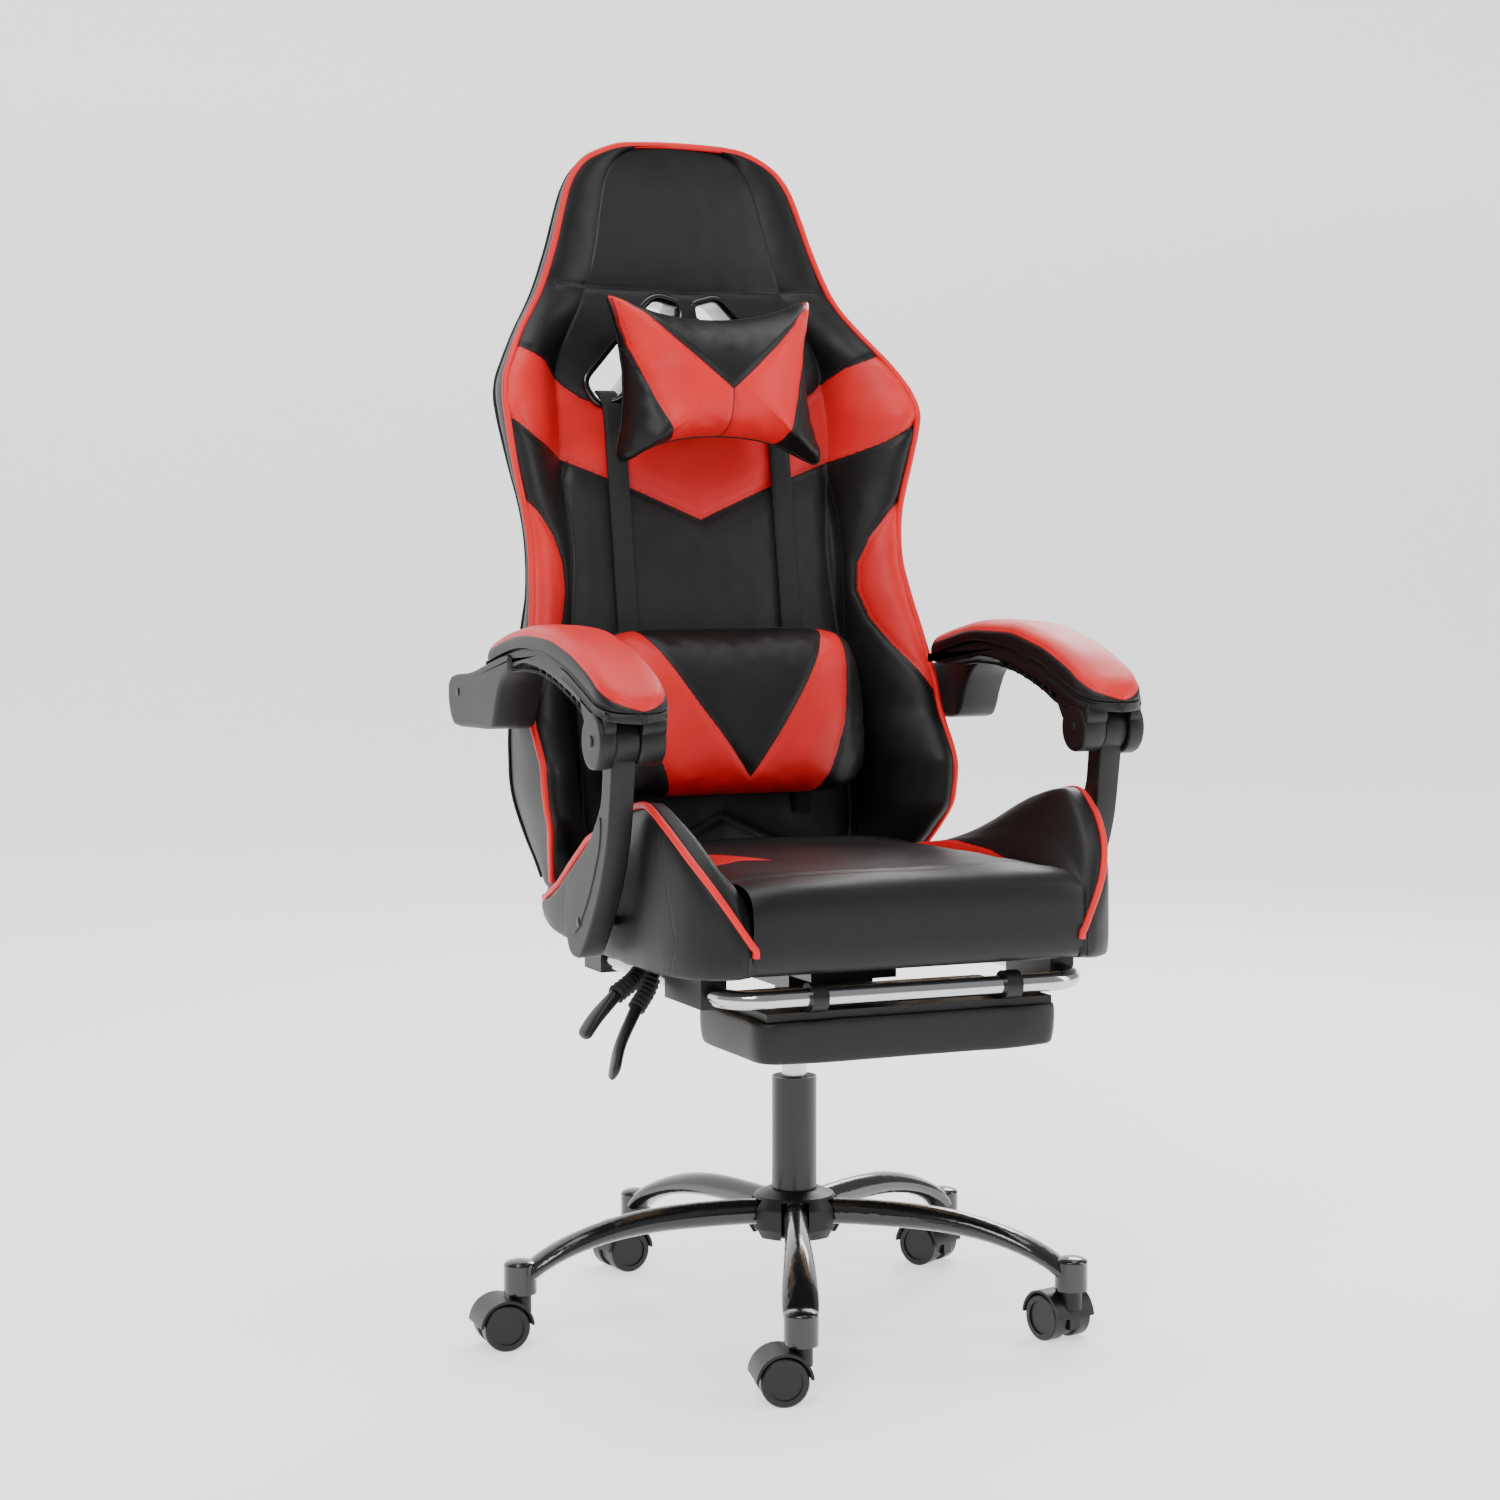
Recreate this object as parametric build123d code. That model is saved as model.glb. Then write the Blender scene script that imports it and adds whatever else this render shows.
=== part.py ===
from build123d import *
import math
import os

# Gaming chair with footrest. Millimetres, +Z up, chair faces -Y.
# Origin: on the floor under the column axis.

# ---- base and casters ----
leg_count = 5
leg_first_angle = 31.3          # degrees from +X
leg_tip_radius = 314.5
leg_socket_radius = 18.0
leg_socket_bottom = 57.0
leg_socket_top = 88.0
hub_radius = 34.0
hub_bottom = 99.0
hub_top = 141.0
cover_radius = 52.0
cover_top = 150.0
wheel_radius = 25.0
wheel_width = 18.0
wheel_gap = 16.0                # between the two wheels of a caster
caster_trail = 21.0
caster_angles = [120.0, 188.0, 177.0, 167.0, 102.0]
stem_radius = 5.5
axle_radius = 4.0
hood_inner = 27.0
hood_outer = 30.0

# ---- gas lift ----
column_radius = 25.0
column_wall = 1.8
column_top = 276.0
lift_radius = 14.0
lift_wall = 2.0
lift_bottom = 195.0
lift_top = 398.0
lift_travel = 90.0
rod_radius = 5.0
bush_length = 80.0

# ---- fits ----
running_fit = 0.05              # radial, for everything that turns or slides

# ---- seat ----
seat_bottom = 434.0
board_thickness = 10.0
frame_tube = 9.0                # radius
frame_half_width = 205.0
frame_front = -288.0
frame_rear = 160.0
frame_corner = 46.0
cushion_half_width = 184.0
cushion_front = -318.0
cushion_rear = 190.0
cushion_top = 527.0
bolster_outer = 255.0
bolster_peak = 602.0

# ---- levers ----
lever_z = seat_bottom - 6
lever_rod_radius = 4.0
lift_lever_y = -106.0
recline_lever_y = -138.0
lever_start_x = -218.0
lift_lever_knee = (-262.0, -136.0, 402.0)
lift_lever_tip = (-300.0, -134.0, 357.0)
recline_lever_knee = (-248.0, -158.0, 390.0)
recline_lever_tip = (-290.0, -199.0, 324.0)

# ---- footrest ----
bar_radius = 10.0
bar_half_width = 200.0
bar_height = 412.0
bar_front = -300.0
bar_rear = 150.0
bar_corner = 42.0
rest_half_width = 172.0
rest_length = 182.0
rest_pad_thickness = 44.0
rest_board_thickness = 8.0
clip_radius = 15.0
clip_half = 9.0

# ---- back ----
lean = 10.0                     # degrees from upright
panel_y = 275.0                 # front of the middle panel at panel_z
panel_z = 895.0
pivot_y = 200.0                 # recline pivot
pivot_z = 455.0
pivot_radius = 6.0
back_tube = 11.0
strap_width = 26.0
strap_x = 103.0
# height, half width, front of wing, rear of wing, depth behind the middle panel
back_stations = [
    (474, 222, 170, 208, 30), (498, 228, 158, 212, 42), (530, 240, 130, 222, 52),
    (566, 252, 108, 230, 55), (610, 258, 110, 236, 55), (644, 258, 126, 236, 55),
    (672, 257, 147, 232, 55), (700, 254, 152, 229, 55), (745, 246, 174, 226, 55),
    (803, 237, 197, 226, 55), (850, 232, 212, 238, 55), (925, 240, 223, 250, 55),
    (1017, 258, 216, 264, 55), (1056, 246, 240, 284, 55), (1094, 228, 270, 304, 55),
    (1117, 219, 290, 325, 55), (1160, 188, 312, 352, 52), (1213, 167, 322, 362, 48),
    (1270, 149, 333, 366, 42), (1300, 135, 339, 366, 36), (1322, 110, 344, 364, 28),
    (1341, 74, 349, 362, 20)]
slot_outline = [(86, 1036), (122, 1026), (141, 1058), (42, 1165), (5, 1153), (5, 1137)]
bezel_width = 6.0
head_pillow_gap = 10.0          # pillow to middle panel
lumbar_pillow_gap = 4.5

# ---- arms ----
arm_inner = 262.0
arm_outer = 312.0
post_inner = 268.0
post_outer = 294.0
arm_centre = 274.0
arm_half_width = 38.0
post_pivot = (-112.0, 476.0)    # y, z
arm_pivot = (-200.0, 669.0)
rear_pivot = (240.0, 699.0)
rear_bolt_radius = 5.5
slot_half_length = 12.5         # lets the rear bolt travel along the arm
slot_half_height = 7.0
knuckle_radius = 24.0

MIN = (Align.CENTER, Align.CENTER, Align.MIN)


def panel_front(z):
    """y of the middle panel's front face at a height."""
    return panel_y + (z - panel_z) * math.tan(math.radians(lean))


def bar(p, q, r):
    """Round bar between two points."""
    a, b = Vector(*p), Vector(*q)
    return Plane(origin=a, z_dir=b - a) * Cylinder(r, (b - a).length, align=MIN)


def block(x0, x1, y0, y1, z0, z1):
    """Box from its six faces."""
    return Pos((x0 + x1) / 2, (y0 + y1) / 2, (z0 + z1) / 2) * Box(x1 - x0, y1 - y0, z1 - z0)


def chain(points, r):
    """Bent tube drawn as bars with round elbows."""
    body = bar(points[0], points[1], r)
    for p, q in zip(points[1:], points[2:]):
        body += Pos(*p) * Sphere(r + 0.4) + bar(p, q, r)
    return body


def side_plate(points, x0, x1):
    """Plate drawn in the side view (y, z) between two x values."""
    face = make_face(Polyline([(x0, y, z) for y, z in points], close=True))
    return extrude(face, amount=x1 - x0, dir=(1, 0, 0))


def section(points):
    """Flat face through points in space."""
    return make_face(Polyline([tuple(p) for p in points], close=True))


def both(part):
    """The part and its mirror image."""
    return [part, mirror(part, about=Plane.YZ)]


def group(parts):
    """Several solids under one name."""
    solids = []
    for part in parts:
        solids += part.solids()
    return Compound(solids)


def save(name, part):
    export_step(part, "parts/" + name + ".step")


# ---------------- base ----------------

def leg_profile(r, z, width, height, tilt):
    plane = Plane(origin=(r, 0, z), z_dir=(math.cos(tilt), 0, math.sin(tilt)), x_dir=(0, 1, 0))
    return plane * Ellipse(width / 2, height / 2)


def one_leg():
    """Leg along +X, swept down to its caster socket."""
    reach = leg_tip_radius
    stations = [(24, 124, 25, 30, 0.0), (0.24 * reach, 127, 25, 29, 0.0),
                (0.45 * reach, 126, 27, 28, -0.06), (0.65 * reach, 119, 32, 25, -0.2),
                (0.82 * reach, 104, 37, 22, -0.45), (0.93 * reach, 87, 38, 20, -0.7),
                (0.975 * reach, 76, 34, 18, -0.8)]
    leg = loft([leg_profile(*s) for s in stations])
    leg += Pos(reach, 0, leg_socket_bottom) * Cylinder(
        leg_socket_radius, leg_socket_top - leg_socket_bottom, align=MIN)
    leg += Pos(reach, 0, leg_socket_top) * scale(Sphere(leg_socket_radius), by=(1, 1, 0.35))
    leg -= Pos(reach, 0, leg_socket_bottom) * Cylinder(
        stem_radius + running_fit, leg_socket_top - leg_socket_bottom - 1, align=MIN)
    leg -= Pos(0, 0, hub_bottom - 20) * Cylinder(hub_radius, 100, align=MIN)
    return leg


def base_legs():
    leg = one_leg()
    step = 360 / leg_count
    return group([Rot(0, 0, leg_first_angle + i * step) * leg for i in range(leg_count)])


def base_hub():
    hub = Pos(0, 0, hub_bottom) * Cylinder(hub_radius, hub_top - hub_bottom, align=MIN)
    return hub - Pos(0, 0, hub_bottom) * Cylinder(column_radius, 200, align=MIN)


def hub_cover():
    """Plastic cap that drops over the hub, notched for the legs."""
    outer = Polyline([(column_radius, cover_top), (30, cover_top), (44, 144), (cover_radius, 132),
                      (cover_radius, 110), (46, hub_bottom), (42, hub_bottom), (48, 112),
                      (48, 130), (41, 141), (column_radius, 141)], close=True)
    face = make_face(Plane.XZ * outer)
    cover = revolve(face, axis=Axis.Z)
    notch = block(20, 80, -15.5, 15.5, hub_bottom - 5, 141)
    for i in range(leg_count):
        cover -= Rot(0, 0, leg_first_angle + i * 360 / leg_count) * notch
    return cover


def column_tube():
    tube = Pos(0, 0, hub_bottom) * Cylinder(column_radius, column_top - hub_bottom, align=MIN)
    return tube - Pos(0, 0, hub_bottom + 3) * Cylinder(column_radius - column_wall, 200, align=MIN)


def guide_bush():
    bottom = column_top - bush_length
    bush = Pos(0, 0, bottom) * Cylinder(column_radius - column_wall, bush_length, align=MIN)
    return bush - Pos(0, 0, bottom - 1) * Cylinder(lift_radius + running_fit, 200, align=MIN)


def piston_rod():
    """Rod standing on the column floor, with its piston head inside the lift tube."""
    top = lift_top - 15 - lift_travel - 3
    rod = Pos(0, 0, hub_bottom + 3) * Cylinder(rod_radius, top - hub_bottom - 3, align=MIN)
    rod += Pos(0, 0, hub_bottom + 3) * Cylinder(rod_radius + 4, 2, align=MIN)
    head = lift_radius - lift_wall - running_fit
    return rod + Pos(0, 0, top - 12) * Cylinder(head, 12, align=MIN)


def lift_tube():
    tube = Pos(0, 0, lift_bottom) * Cylinder(lift_radius, lift_top - lift_bottom, align=MIN)
    tube -= Pos(0, 0, lift_bottom + 12) * Cylinder(
        lift_radius - lift_wall, lift_top - lift_bottom - 24, align=MIN)
    return tube - Pos(0, 0, lift_bottom - 1) * Cylinder(rod_radius + running_fit, 20, align=MIN)


# ---------------- casters ----------------
# Drawn with the stem on the Z axis and the wheels trailing along +X.

def across(x, z, r, y0, y1):
    return bar((x, y0, z), (x, y1, z), r)


def caster_hood():
    web = wheel_gap / 2 - 1
    edge = wheel_gap / 2 + wheel_width
    guard = across(caster_trail, wheel_radius, hood_outer, -edge, edge)
    guard -= across(caster_trail, wheel_radius, hood_inner, -edge - 1, edge + 1)
    guard -= block(-60, 90, -60, 60, -20, wheel_radius + 2)
    middle = across(caster_trail, wheel_radius, hood_outer - 8, -web, web)
    middle += block(-7, caster_trail, -web, web, 14, 42)
    middle += across(caster_trail, wheel_radius, hood_outer, -web, web) - block(
        -60, 90, -60, 60, -20, wheel_radius + 2)
    neck = Cylinder(12, leg_socket_bottom - 1 - 36, align=MIN)
    neck = Pos(0, 0, 36) * neck
    for side in (-1, 1):
        neck -= across(caster_trail, wheel_radius, hood_inner - 0.5, side * web, side * 40)
    hood = guard + middle + neck
    hood -= Pos(0, 0, 20) * Cylinder(stem_radius, 60, align=MIN)
    return hood - across(caster_trail, wheel_radius, axle_radius, -30, 30)


def caster_pins():
    stem = Pos(0, 0, 20) * Cylinder(stem_radius, leg_socket_top - 4 - 20, align=MIN)
    reach = wheel_gap / 2 + wheel_width - 3
    return group([stem, across(caster_trail, wheel_radius, axle_radius, -reach, reach)])


def caster_wheel(side):
    near = wheel_gap / 2
    far = near + wheel_width
    wheel = across(caster_trail, wheel_radius, wheel_radius, near, far)
    wheel = chamfer(wheel.edges().filter_by(GeomType.CIRCLE), 1.6)
    wheel -= across(caster_trail, wheel_radius, wheel_radius - 7, far - 2, far + 1)
    wheel -= across(caster_trail, wheel_radius, axle_radius + running_fit, near - 1, far - 2.5)
    return wheel if side > 0 else mirror(wheel, about=Plane.XZ)


def place_caster(i, part):
    angle = leg_first_angle + i * 360 / leg_count
    spot = Rot(0, 0, angle) * Pos(leg_tip_radius, 0, 0) * Rot(0, 0, caster_angles[i] - angle)
    return spot * part


# ---------------- seat ----------------

def mechanism():
    """Pressed steel housing under the seat with the socket for the lift tube."""
    shell = block(-50, 50, -98, 96, 388, seat_bottom) + block(-50, 50, -156, -98, 404, seat_bottom)
    shell -= block(-46, 46, -94, 92, 392, seat_bottom - 4)
    shell -= block(-46, 46, -152, -94, 408, seat_bottom - 4)
    shell += block(-95, 95, -94, 94, seat_bottom - 4, seat_bottom)
    shell += Pos(0, 0, 374) * Cylinder(22, 30, align=MIN)
    shell -= Pos(0, 0, 370) * Cylinder(lift_radius, lift_top - 370, align=MIN)
    for y in (lift_lever_y, recline_lever_y):
        shell -= bar((-60, y, lever_z), (-40, y, lever_z), lever_rod_radius + running_fit)
    return shell


def ring_face(inset=0):
    """Area inside the centre line of the seat's steel tube."""
    w, f, r = frame_half_width - inset, frame_front + inset, frame_rear - inset
    shape = RectangleRounded(2 * w, r - f, frame_corner - inset)
    return Pos(0, (f + r) / 2, seat_bottom + frame_tube) * shape


def seat_frame():
    """Welded tube ring with a bracket on each side for the arm posts."""
    path = ring_face().wire()
    start = Plane(origin=path @ 0, z_dir=path % 0)
    ring = sweep(start * Circle(frame_tube), path=path)
    y, z = post_pivot
    x = frame_half_width + frame_tube
    plate = side_plate([(y - 34, seat_bottom + 2), (y + 34, seat_bottom + 2), (y + 22, z + 18),
                        (y - 22, z + 18)], x - 3, x + 3)
    for part in both(plate):
        ring += part
    return ring


def seat_board(ring):
    """Plywood that fills the tube ring."""
    face = Pos(0, 0, -frame_tube) * ring_face(6)
    return extrude(face, amount=board_thickness, dir=(0, 0, 1)) - ring


def seat_cushion(ring, board):
    top, low = cushion_top, seat_bottom
    y0, y1 = cushion_front, cushion_rear
    side = [(y0 + 4, low + 2), (y0, low + 30), (y0, top - 28), (y0 + 10, top - 6), (y0 + 34, top),
            (y1 - 160, top - 6), (y1 - 40, top - 2), (y1 - 10, top - 8), (y1, top - 30), (y1, low + 14)]
    w = cushion_half_width
    body = side_plate(side, -w, w)
    for part in both(block(w - 26, w + 10, 128, y1 + 10, low - 5, top + 20)):
        body -= part
    body -= block(-frame_half_width, frame_half_width, frame_front, frame_rear, low - 5,
                  low + board_thickness)
    return body - ring - board


def seat_bolsters(ring, board, brackets, bolts):
    """Side bolsters of the seat; (y, bottom, outer x, inner top z, crown inner x, crown z)."""
    w, o, p, low = cushion_half_width, bolster_outer, bolster_peak, seat_bottom
    stations = [(-316, low + 4, w + 26, low + 38, w + 8, low + 42), (-296, low, w + 46, 510, w + 20, 528),
                (-256, low, o - 4, 527, w + 34, p - 26), (-191, low, o, 529, w + 40, p),
                (-127, low, o, 528, w + 40, p - 14), (-33, low, o, 525, w + 38, p - 46),
                (73, low + 6, o, 518, w + 36, p - 80), (128, low + 18, o - 4, 496, w + 34, p - 108),
                (150, low + 22, o - 12, 462, w + 30, low + 38)]
    faces = []
    for y, bottom, outer, inner_top, crown_in, crown_z in stations:
        faces.append(section([
            (w, y, bottom), (outer - 6, y, bottom), (outer, y, bottom + 10),
            (outer, y, crown_z - 0.16 * (crown_z - bottom)), (outer - 8, y, crown_z),
            (crown_in, y, crown_z - 4), (w, y, inner_top)]))
    body = loft(faces, ruled=True)
    parts = []
    for half in both(body):
        for cutter in (ring, board, brackets, bolts):
            half -= cutter
        parts.append(max(half.solids(), key=lambda solid: solid.volume))
    return group(parts)


def footrest_guides():
    """Four plastic guides under the seat frame for the sliding bar."""
    parts = []
    for y0, y1 in ((-250, -150), (40, 92)):
        guide = block(bar_half_width - 14, bar_half_width + 14, y0, y1, bar_height - 14, seat_bottom)
        guide -= bar((bar_half_width, y0 - 1, bar_height), (bar_half_width, y1 + 1, bar_height),
                     bar_radius + running_fit)
        parts += both(guide)
    return group(parts)


def recline_brackets():
    """Steel plates on the seat frame that carry the recline pivots."""
    x = frame_half_width + frame_tube
    y, z = pivot_y, pivot_z
    plate = side_plate([(40, seat_bottom + 3), (y - 8, seat_bottom + 3), (y + 14, z - 10),
                        (y + 16, z + 4), (y + 6, z + 16), (y - 8, z + 16), (40, z + 2)], x, x + 5)
    plate += bar((x - 9, y, z), (x + 2, y, z), pivot_radius)
    return group(both(plate))


def arm_bolts():
    """Bolts through the seat brackets on which the arm posts turn."""
    y, z = post_pivot
    x = frame_half_width + frame_tube + 3
    bolt = bar((x, y, z), (post_outer + 0.3, y, z), pivot_radius)
    bolt += bar((post_outer + 0.3, y, z), (post_outer + 5, y, z), 11)
    return group(both(bolt))


# ---------------- levers ----------------
def lever_rod(y, knee):
    return chain([(-42, y, lever_z), (lever_start_x, y, lever_z), knee], lever_rod_radius)


def lever_boot(y, knee, rod):
    """Ribbed rubber sleeve over the bend of the rod."""
    a = Vector(lever_start_x - 3, y, lever_z - 3)
    b = Vector(*knee)
    boot = bar(tuple(a), tuple(b), 6.4)
    for i in range(5):
        p = a + (b - a) * (0.12 + 0.17 * i)
        q = a + (b - a) * (0.2 + 0.17 * i)
        boot += bar(tuple(p), tuple(q), 8)
    boot -= block(-260, -190, -220, -60, lever_z + 4.6, lever_z + 40)
    return boot - rod


def lever_paddle(knee, tip, cutters):
    a, b = Vector(*knee), Vector(*tip)
    along = (b - a).normalized()
    plane = Plane(origin=a - along * 3, x_dir=(0, 1, 0), z_dir=along)
    paddle = plane * Box(22, 9, (b - a).length + 3, align=MIN)
    paddle = fillet(paddle.edges(), 3.5)
    for cutter in cutters:
        paddle -= cutter
    return paddle


# ---------------- footrest ----------------

def footrest_frame():
    """One tube bent to a U."""
    w, f, r, c, z = bar_half_width, bar_front, bar_rear, bar_corner, bar_height
    path = Polyline([(-w, r, z), (-w, f, z), (w, f, z), (w, r, z)])
    path = fillet(path.vertices().filter_by_position(Axis.Y, f - 1, f + 1), c)
    profile = Plane(origin=(-w, r, z), z_dir=(0, -1, 0)) * (Circle(bar_radius) - Circle(bar_radius - 2))
    return sweep(profile, path=path)


def rest_top():
    return bar_height - clip_radius


def footrest_board():
    z = rest_top()
    y = bar_front + 4
    return block(-rest_half_width + 10, rest_half_width - 10, y, y + rest_length - 18,
                 z - rest_board_thickness, z)


def footrest_pad():
    z1 = rest_top() - rest_board_thickness
    z0 = z1 - rest_pad_thickness
    y0 = bar_front - 4
    w = rest_half_width
    pad = block(-w, w, y0, y0 + rest_length, z0, z1)
    pad = fillet(pad.edges().filter_by(Axis.Z), 14)
    return fillet(pad.faces().sort_by(Axis.Z)[0].edges(), 12)


def footrest_clips():
    """Plastic clips that turn on the front bar and hold the pad's board."""
    clips = []
    for x in (-110, 110):
        y, z = bar_front, bar_height
        clip = bar((x - clip_half, y, z), (x + clip_half, y, z), clip_radius)
        clip += block(x - clip_half, x + clip_half, y, y + 44, rest_top(), rest_top() + 4)
        clip -= bar((x - 20, y, z), (x + 20, y, z), bar_radius + running_fit)
        clips.append(clip)
    return group(clips)


# ---------------- back ----------------

def wing_seam(half_width):
    """x where the wing leaves the middle panel."""
    return min(165, 0.68 * half_width)


def back_section(z, w, front, rear, depth):
    y = panel_front(z)
    right = [(wing_seam(w), y), (w - 10, front), (w, front + 8), (w, rear), (0.72 * w, y + 0.85 * depth)]
    left = [(-x, yy) for x, yy in reversed(right)]
    points = [(0, y)] + right + [(0, y + depth)] + left
    return section([(x, yy, z) for x, yy in points])


def back_frame():
    """Bent steel tube with two cross bars and the recline plates."""
    side = [(200, 219, 498), (200, 222, 560), (200, rear_pivot[0], rear_pivot[1]), (200, 246, 803),
            (200, 272, 925), (192, 296, 1010), (176, 320, 1094), (150, 345, 1165), (112, 362, 1230),
            (60, 367, 1252)]
    mirrored = [(-x, y, z) for x, y, z in reversed(side)]
    frame = chain(side + mirrored, back_tube)
    frame += bar((-200, 232, 540), (200, 232, 540), back_tube - 3)
    x = frame_half_width + frame_tube
    y, z = pivot_y, pivot_z
    plate = side_plate([(y - 15, z - 6), (y - 6, z - 15), (y + 6, z - 15), (y + 15, z - 4), (y + 34, 560),
                        (y + 10, 560), (y - 8, 500)], x - 7.5, x - 1)
    plate -= bar((x - 20, y, z), (x + 10, y, z), pivot_radius + running_fit)
    for part in both(plate):
        frame += part
    return frame


def slot_solid(shrink, out, deep):
    """Strap slot, drawn in by a distance, from in front of the middle panel to behind it."""
    face = section([(x, panel_front(z) - out, z) for x, z in slot_outline])
    if shrink:
        face = offset(face, amount=-shrink)
    return extrude(face, amount=out + deep, dir=(0, 1, 0))


def strap_bezels():
    """Moulded rings that line the two strap slots."""
    ring = slot_solid(0, 3, 58) - slot_solid(bezel_width, 4, 60)
    return group(both(ring))


def arm_rear_bolts():
    """Bolts from the back frame through the slots in the arms."""
    y, z = rear_pivot
    bolt = bar((200 + back_tube - 2, y, z), (arm_outer + 0.4, y, z), rear_bolt_radius)
    bolt += bar((arm_outer + 0.4, y, z), (arm_outer + 6, y, z), 11)
    return bolt


def back_pad(frame, bolts):
    pad = loft([back_section(*s) for s in back_stations], ruled=True)
    for slot in both(slot_solid(0, 90, 150)):
        pad -= slot
    pad -= frame
    for bolt in bolts:
        pad -= bolt
    return pad


def lumbar_straps():
    """Two webbing straps lying on the middle panel."""
    parts = []
    for x in (-strap_x, strap_x):
        z0, z1 = 560, 1022
        points = [(panel_front(z0) - 2, z0), (panel_front(z0), z0), (panel_front(z1), z1),
                  (panel_front(z1) - 2, z1)]
        parts.append(side_plate(points, x - strap_width / 2, x + strap_width / 2))
    return group(parts)


def pillow(outline, mid_out, front_out, rear_gap, squeeze):
    """Pillow from a front-view outline: full at its seam, drawn in at front and rear."""
    cz = sum(z for x, z in outline) / len(outline)
    rings = []
    for out, k in ((rear_gap, squeeze), (mid_out, 1.0), (front_out, squeeze)):
        rings.append(section([(x * k, panel_front(cz + (z - cz) * k) - out, cz + (z - cz) * k)
                              for x, z in outline]))
    return loft(rings, ruled=True)


def head_pillow():
    half = [(0, 1131), (60, 1136), (122, 1150), (126, 1140), (114, 1058), (125, 974), (118, 964),
            (60, 986), (0, 993)]
    outline = half + [(-x, z) for x, z in reversed(half[1:-1])]
    return pillow(outline, 78, 128, head_pillow_gap, 0.78)


def lumbar_pillow():
    half = [(0, 768), (100, 766), (146, 752), (165, 715), (165, 630), (146, 592), (100, 580), (0, 580)]
    outline = half + [(-x, z) for x, z in reversed(half[1:-1])]
    return pillow(outline, 54, 108, lumbar_pillow_gap, 0.86)


# ---------------- arms ----------------

def arm_pad():
    top = [(148, 757), (87, 771), (20, 779), (-45, 779), (-120, 766), (-175, 749), (-215, 730), (-238, 716),
           (-247, 703)]
    w = arm_half_width
    return side_plate(top + arm_line(), arm_centre - w, arm_centre + w)


def arm_line():
    """Line between arm shell and arm pad, front to rear."""
    return [(-243, 699), (-197, 713), (-120, 738), (-45, 752), (20, 756), (87, 746), (148, 733)]


def arm_shell():
    """Moulded arm: front cheeks round the post's knuckle, slotted bracket at the rear."""
    ky, kz = arm_pivot
    front = [(124, 722), (92, 728), (60, 737), (20, 746), (-45, 730), (-120, 708), (-167, 697),
             (-200, 692), (-238, 686)]
    body = side_plate(arm_line() + front, arm_centre - 34, arm_centre + 34)
    for x0, x1, r in ((240, post_inner - 0.3, 26), (post_outer + 0.3, 314, 30)):
        body += bar((x0, ky, kz), (x1, ky, kz), r)
    body -= bar((post_inner - 0.3, ky, kz), (post_outer + 0.3, ky, kz), knuckle_radius + 1)
    rear = [(60, 741), (60, 737), (92, 716), (112, 690), (124, 664), (262, 660), (278, 668), (278, 708),
            (262, 718), (200, 723), (148, 733), (87, 746)]
    body += side_plate(rear, arm_inner, arm_outer)
    body -= block(200, arm_inner, 96, 300, 600, 732)
    y, z = rear_pivot
    slot = block(arm_inner - 5, arm_outer + 5, y - slot_half_length + slot_half_height,
                 y + slot_half_length - slot_half_height, z - slot_half_height, z + slot_half_height)
    for side in (-1, 1):
        yy = y + side * (slot_half_length - slot_half_height)
        slot += bar((arm_inner - 5, yy, z), (arm_outer + 5, yy, z), slot_half_height)
    body -= slot
    return body - bar((244, ky, kz), (312, ky, kz), pivot_radius)


def arm_pin():
    ky, kz = arm_pivot
    return bar((244, ky, kz), (312, ky, kz), pivot_radius)


def arm_post():
    """Boomerang-shaped post between the seat and the arm."""
    outline = [(-186, 655), (-178, 600), (-140, 565), (-95, 535), (-70, 510), (-69, 462), (-97, 437),
               (-117, 441), (-146, 473), (-183, 532), (-204, 575), (-210, 655)]
    post = side_plate(outline, post_inner, post_outer)
    post += bar((post_inner, *arm_pivot), (post_outer, *arm_pivot), knuckle_radius)
    post -= bar((post_inner - 1, *arm_pivot), (post_outer + 1, *arm_pivot), pivot_radius + running_fit)
    return post - bar((post_inner - 1, *post_pivot), (post_outer + 1, *post_pivot),
                      pivot_radius + running_fit)


# ---------------- build everything ----------------

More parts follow.
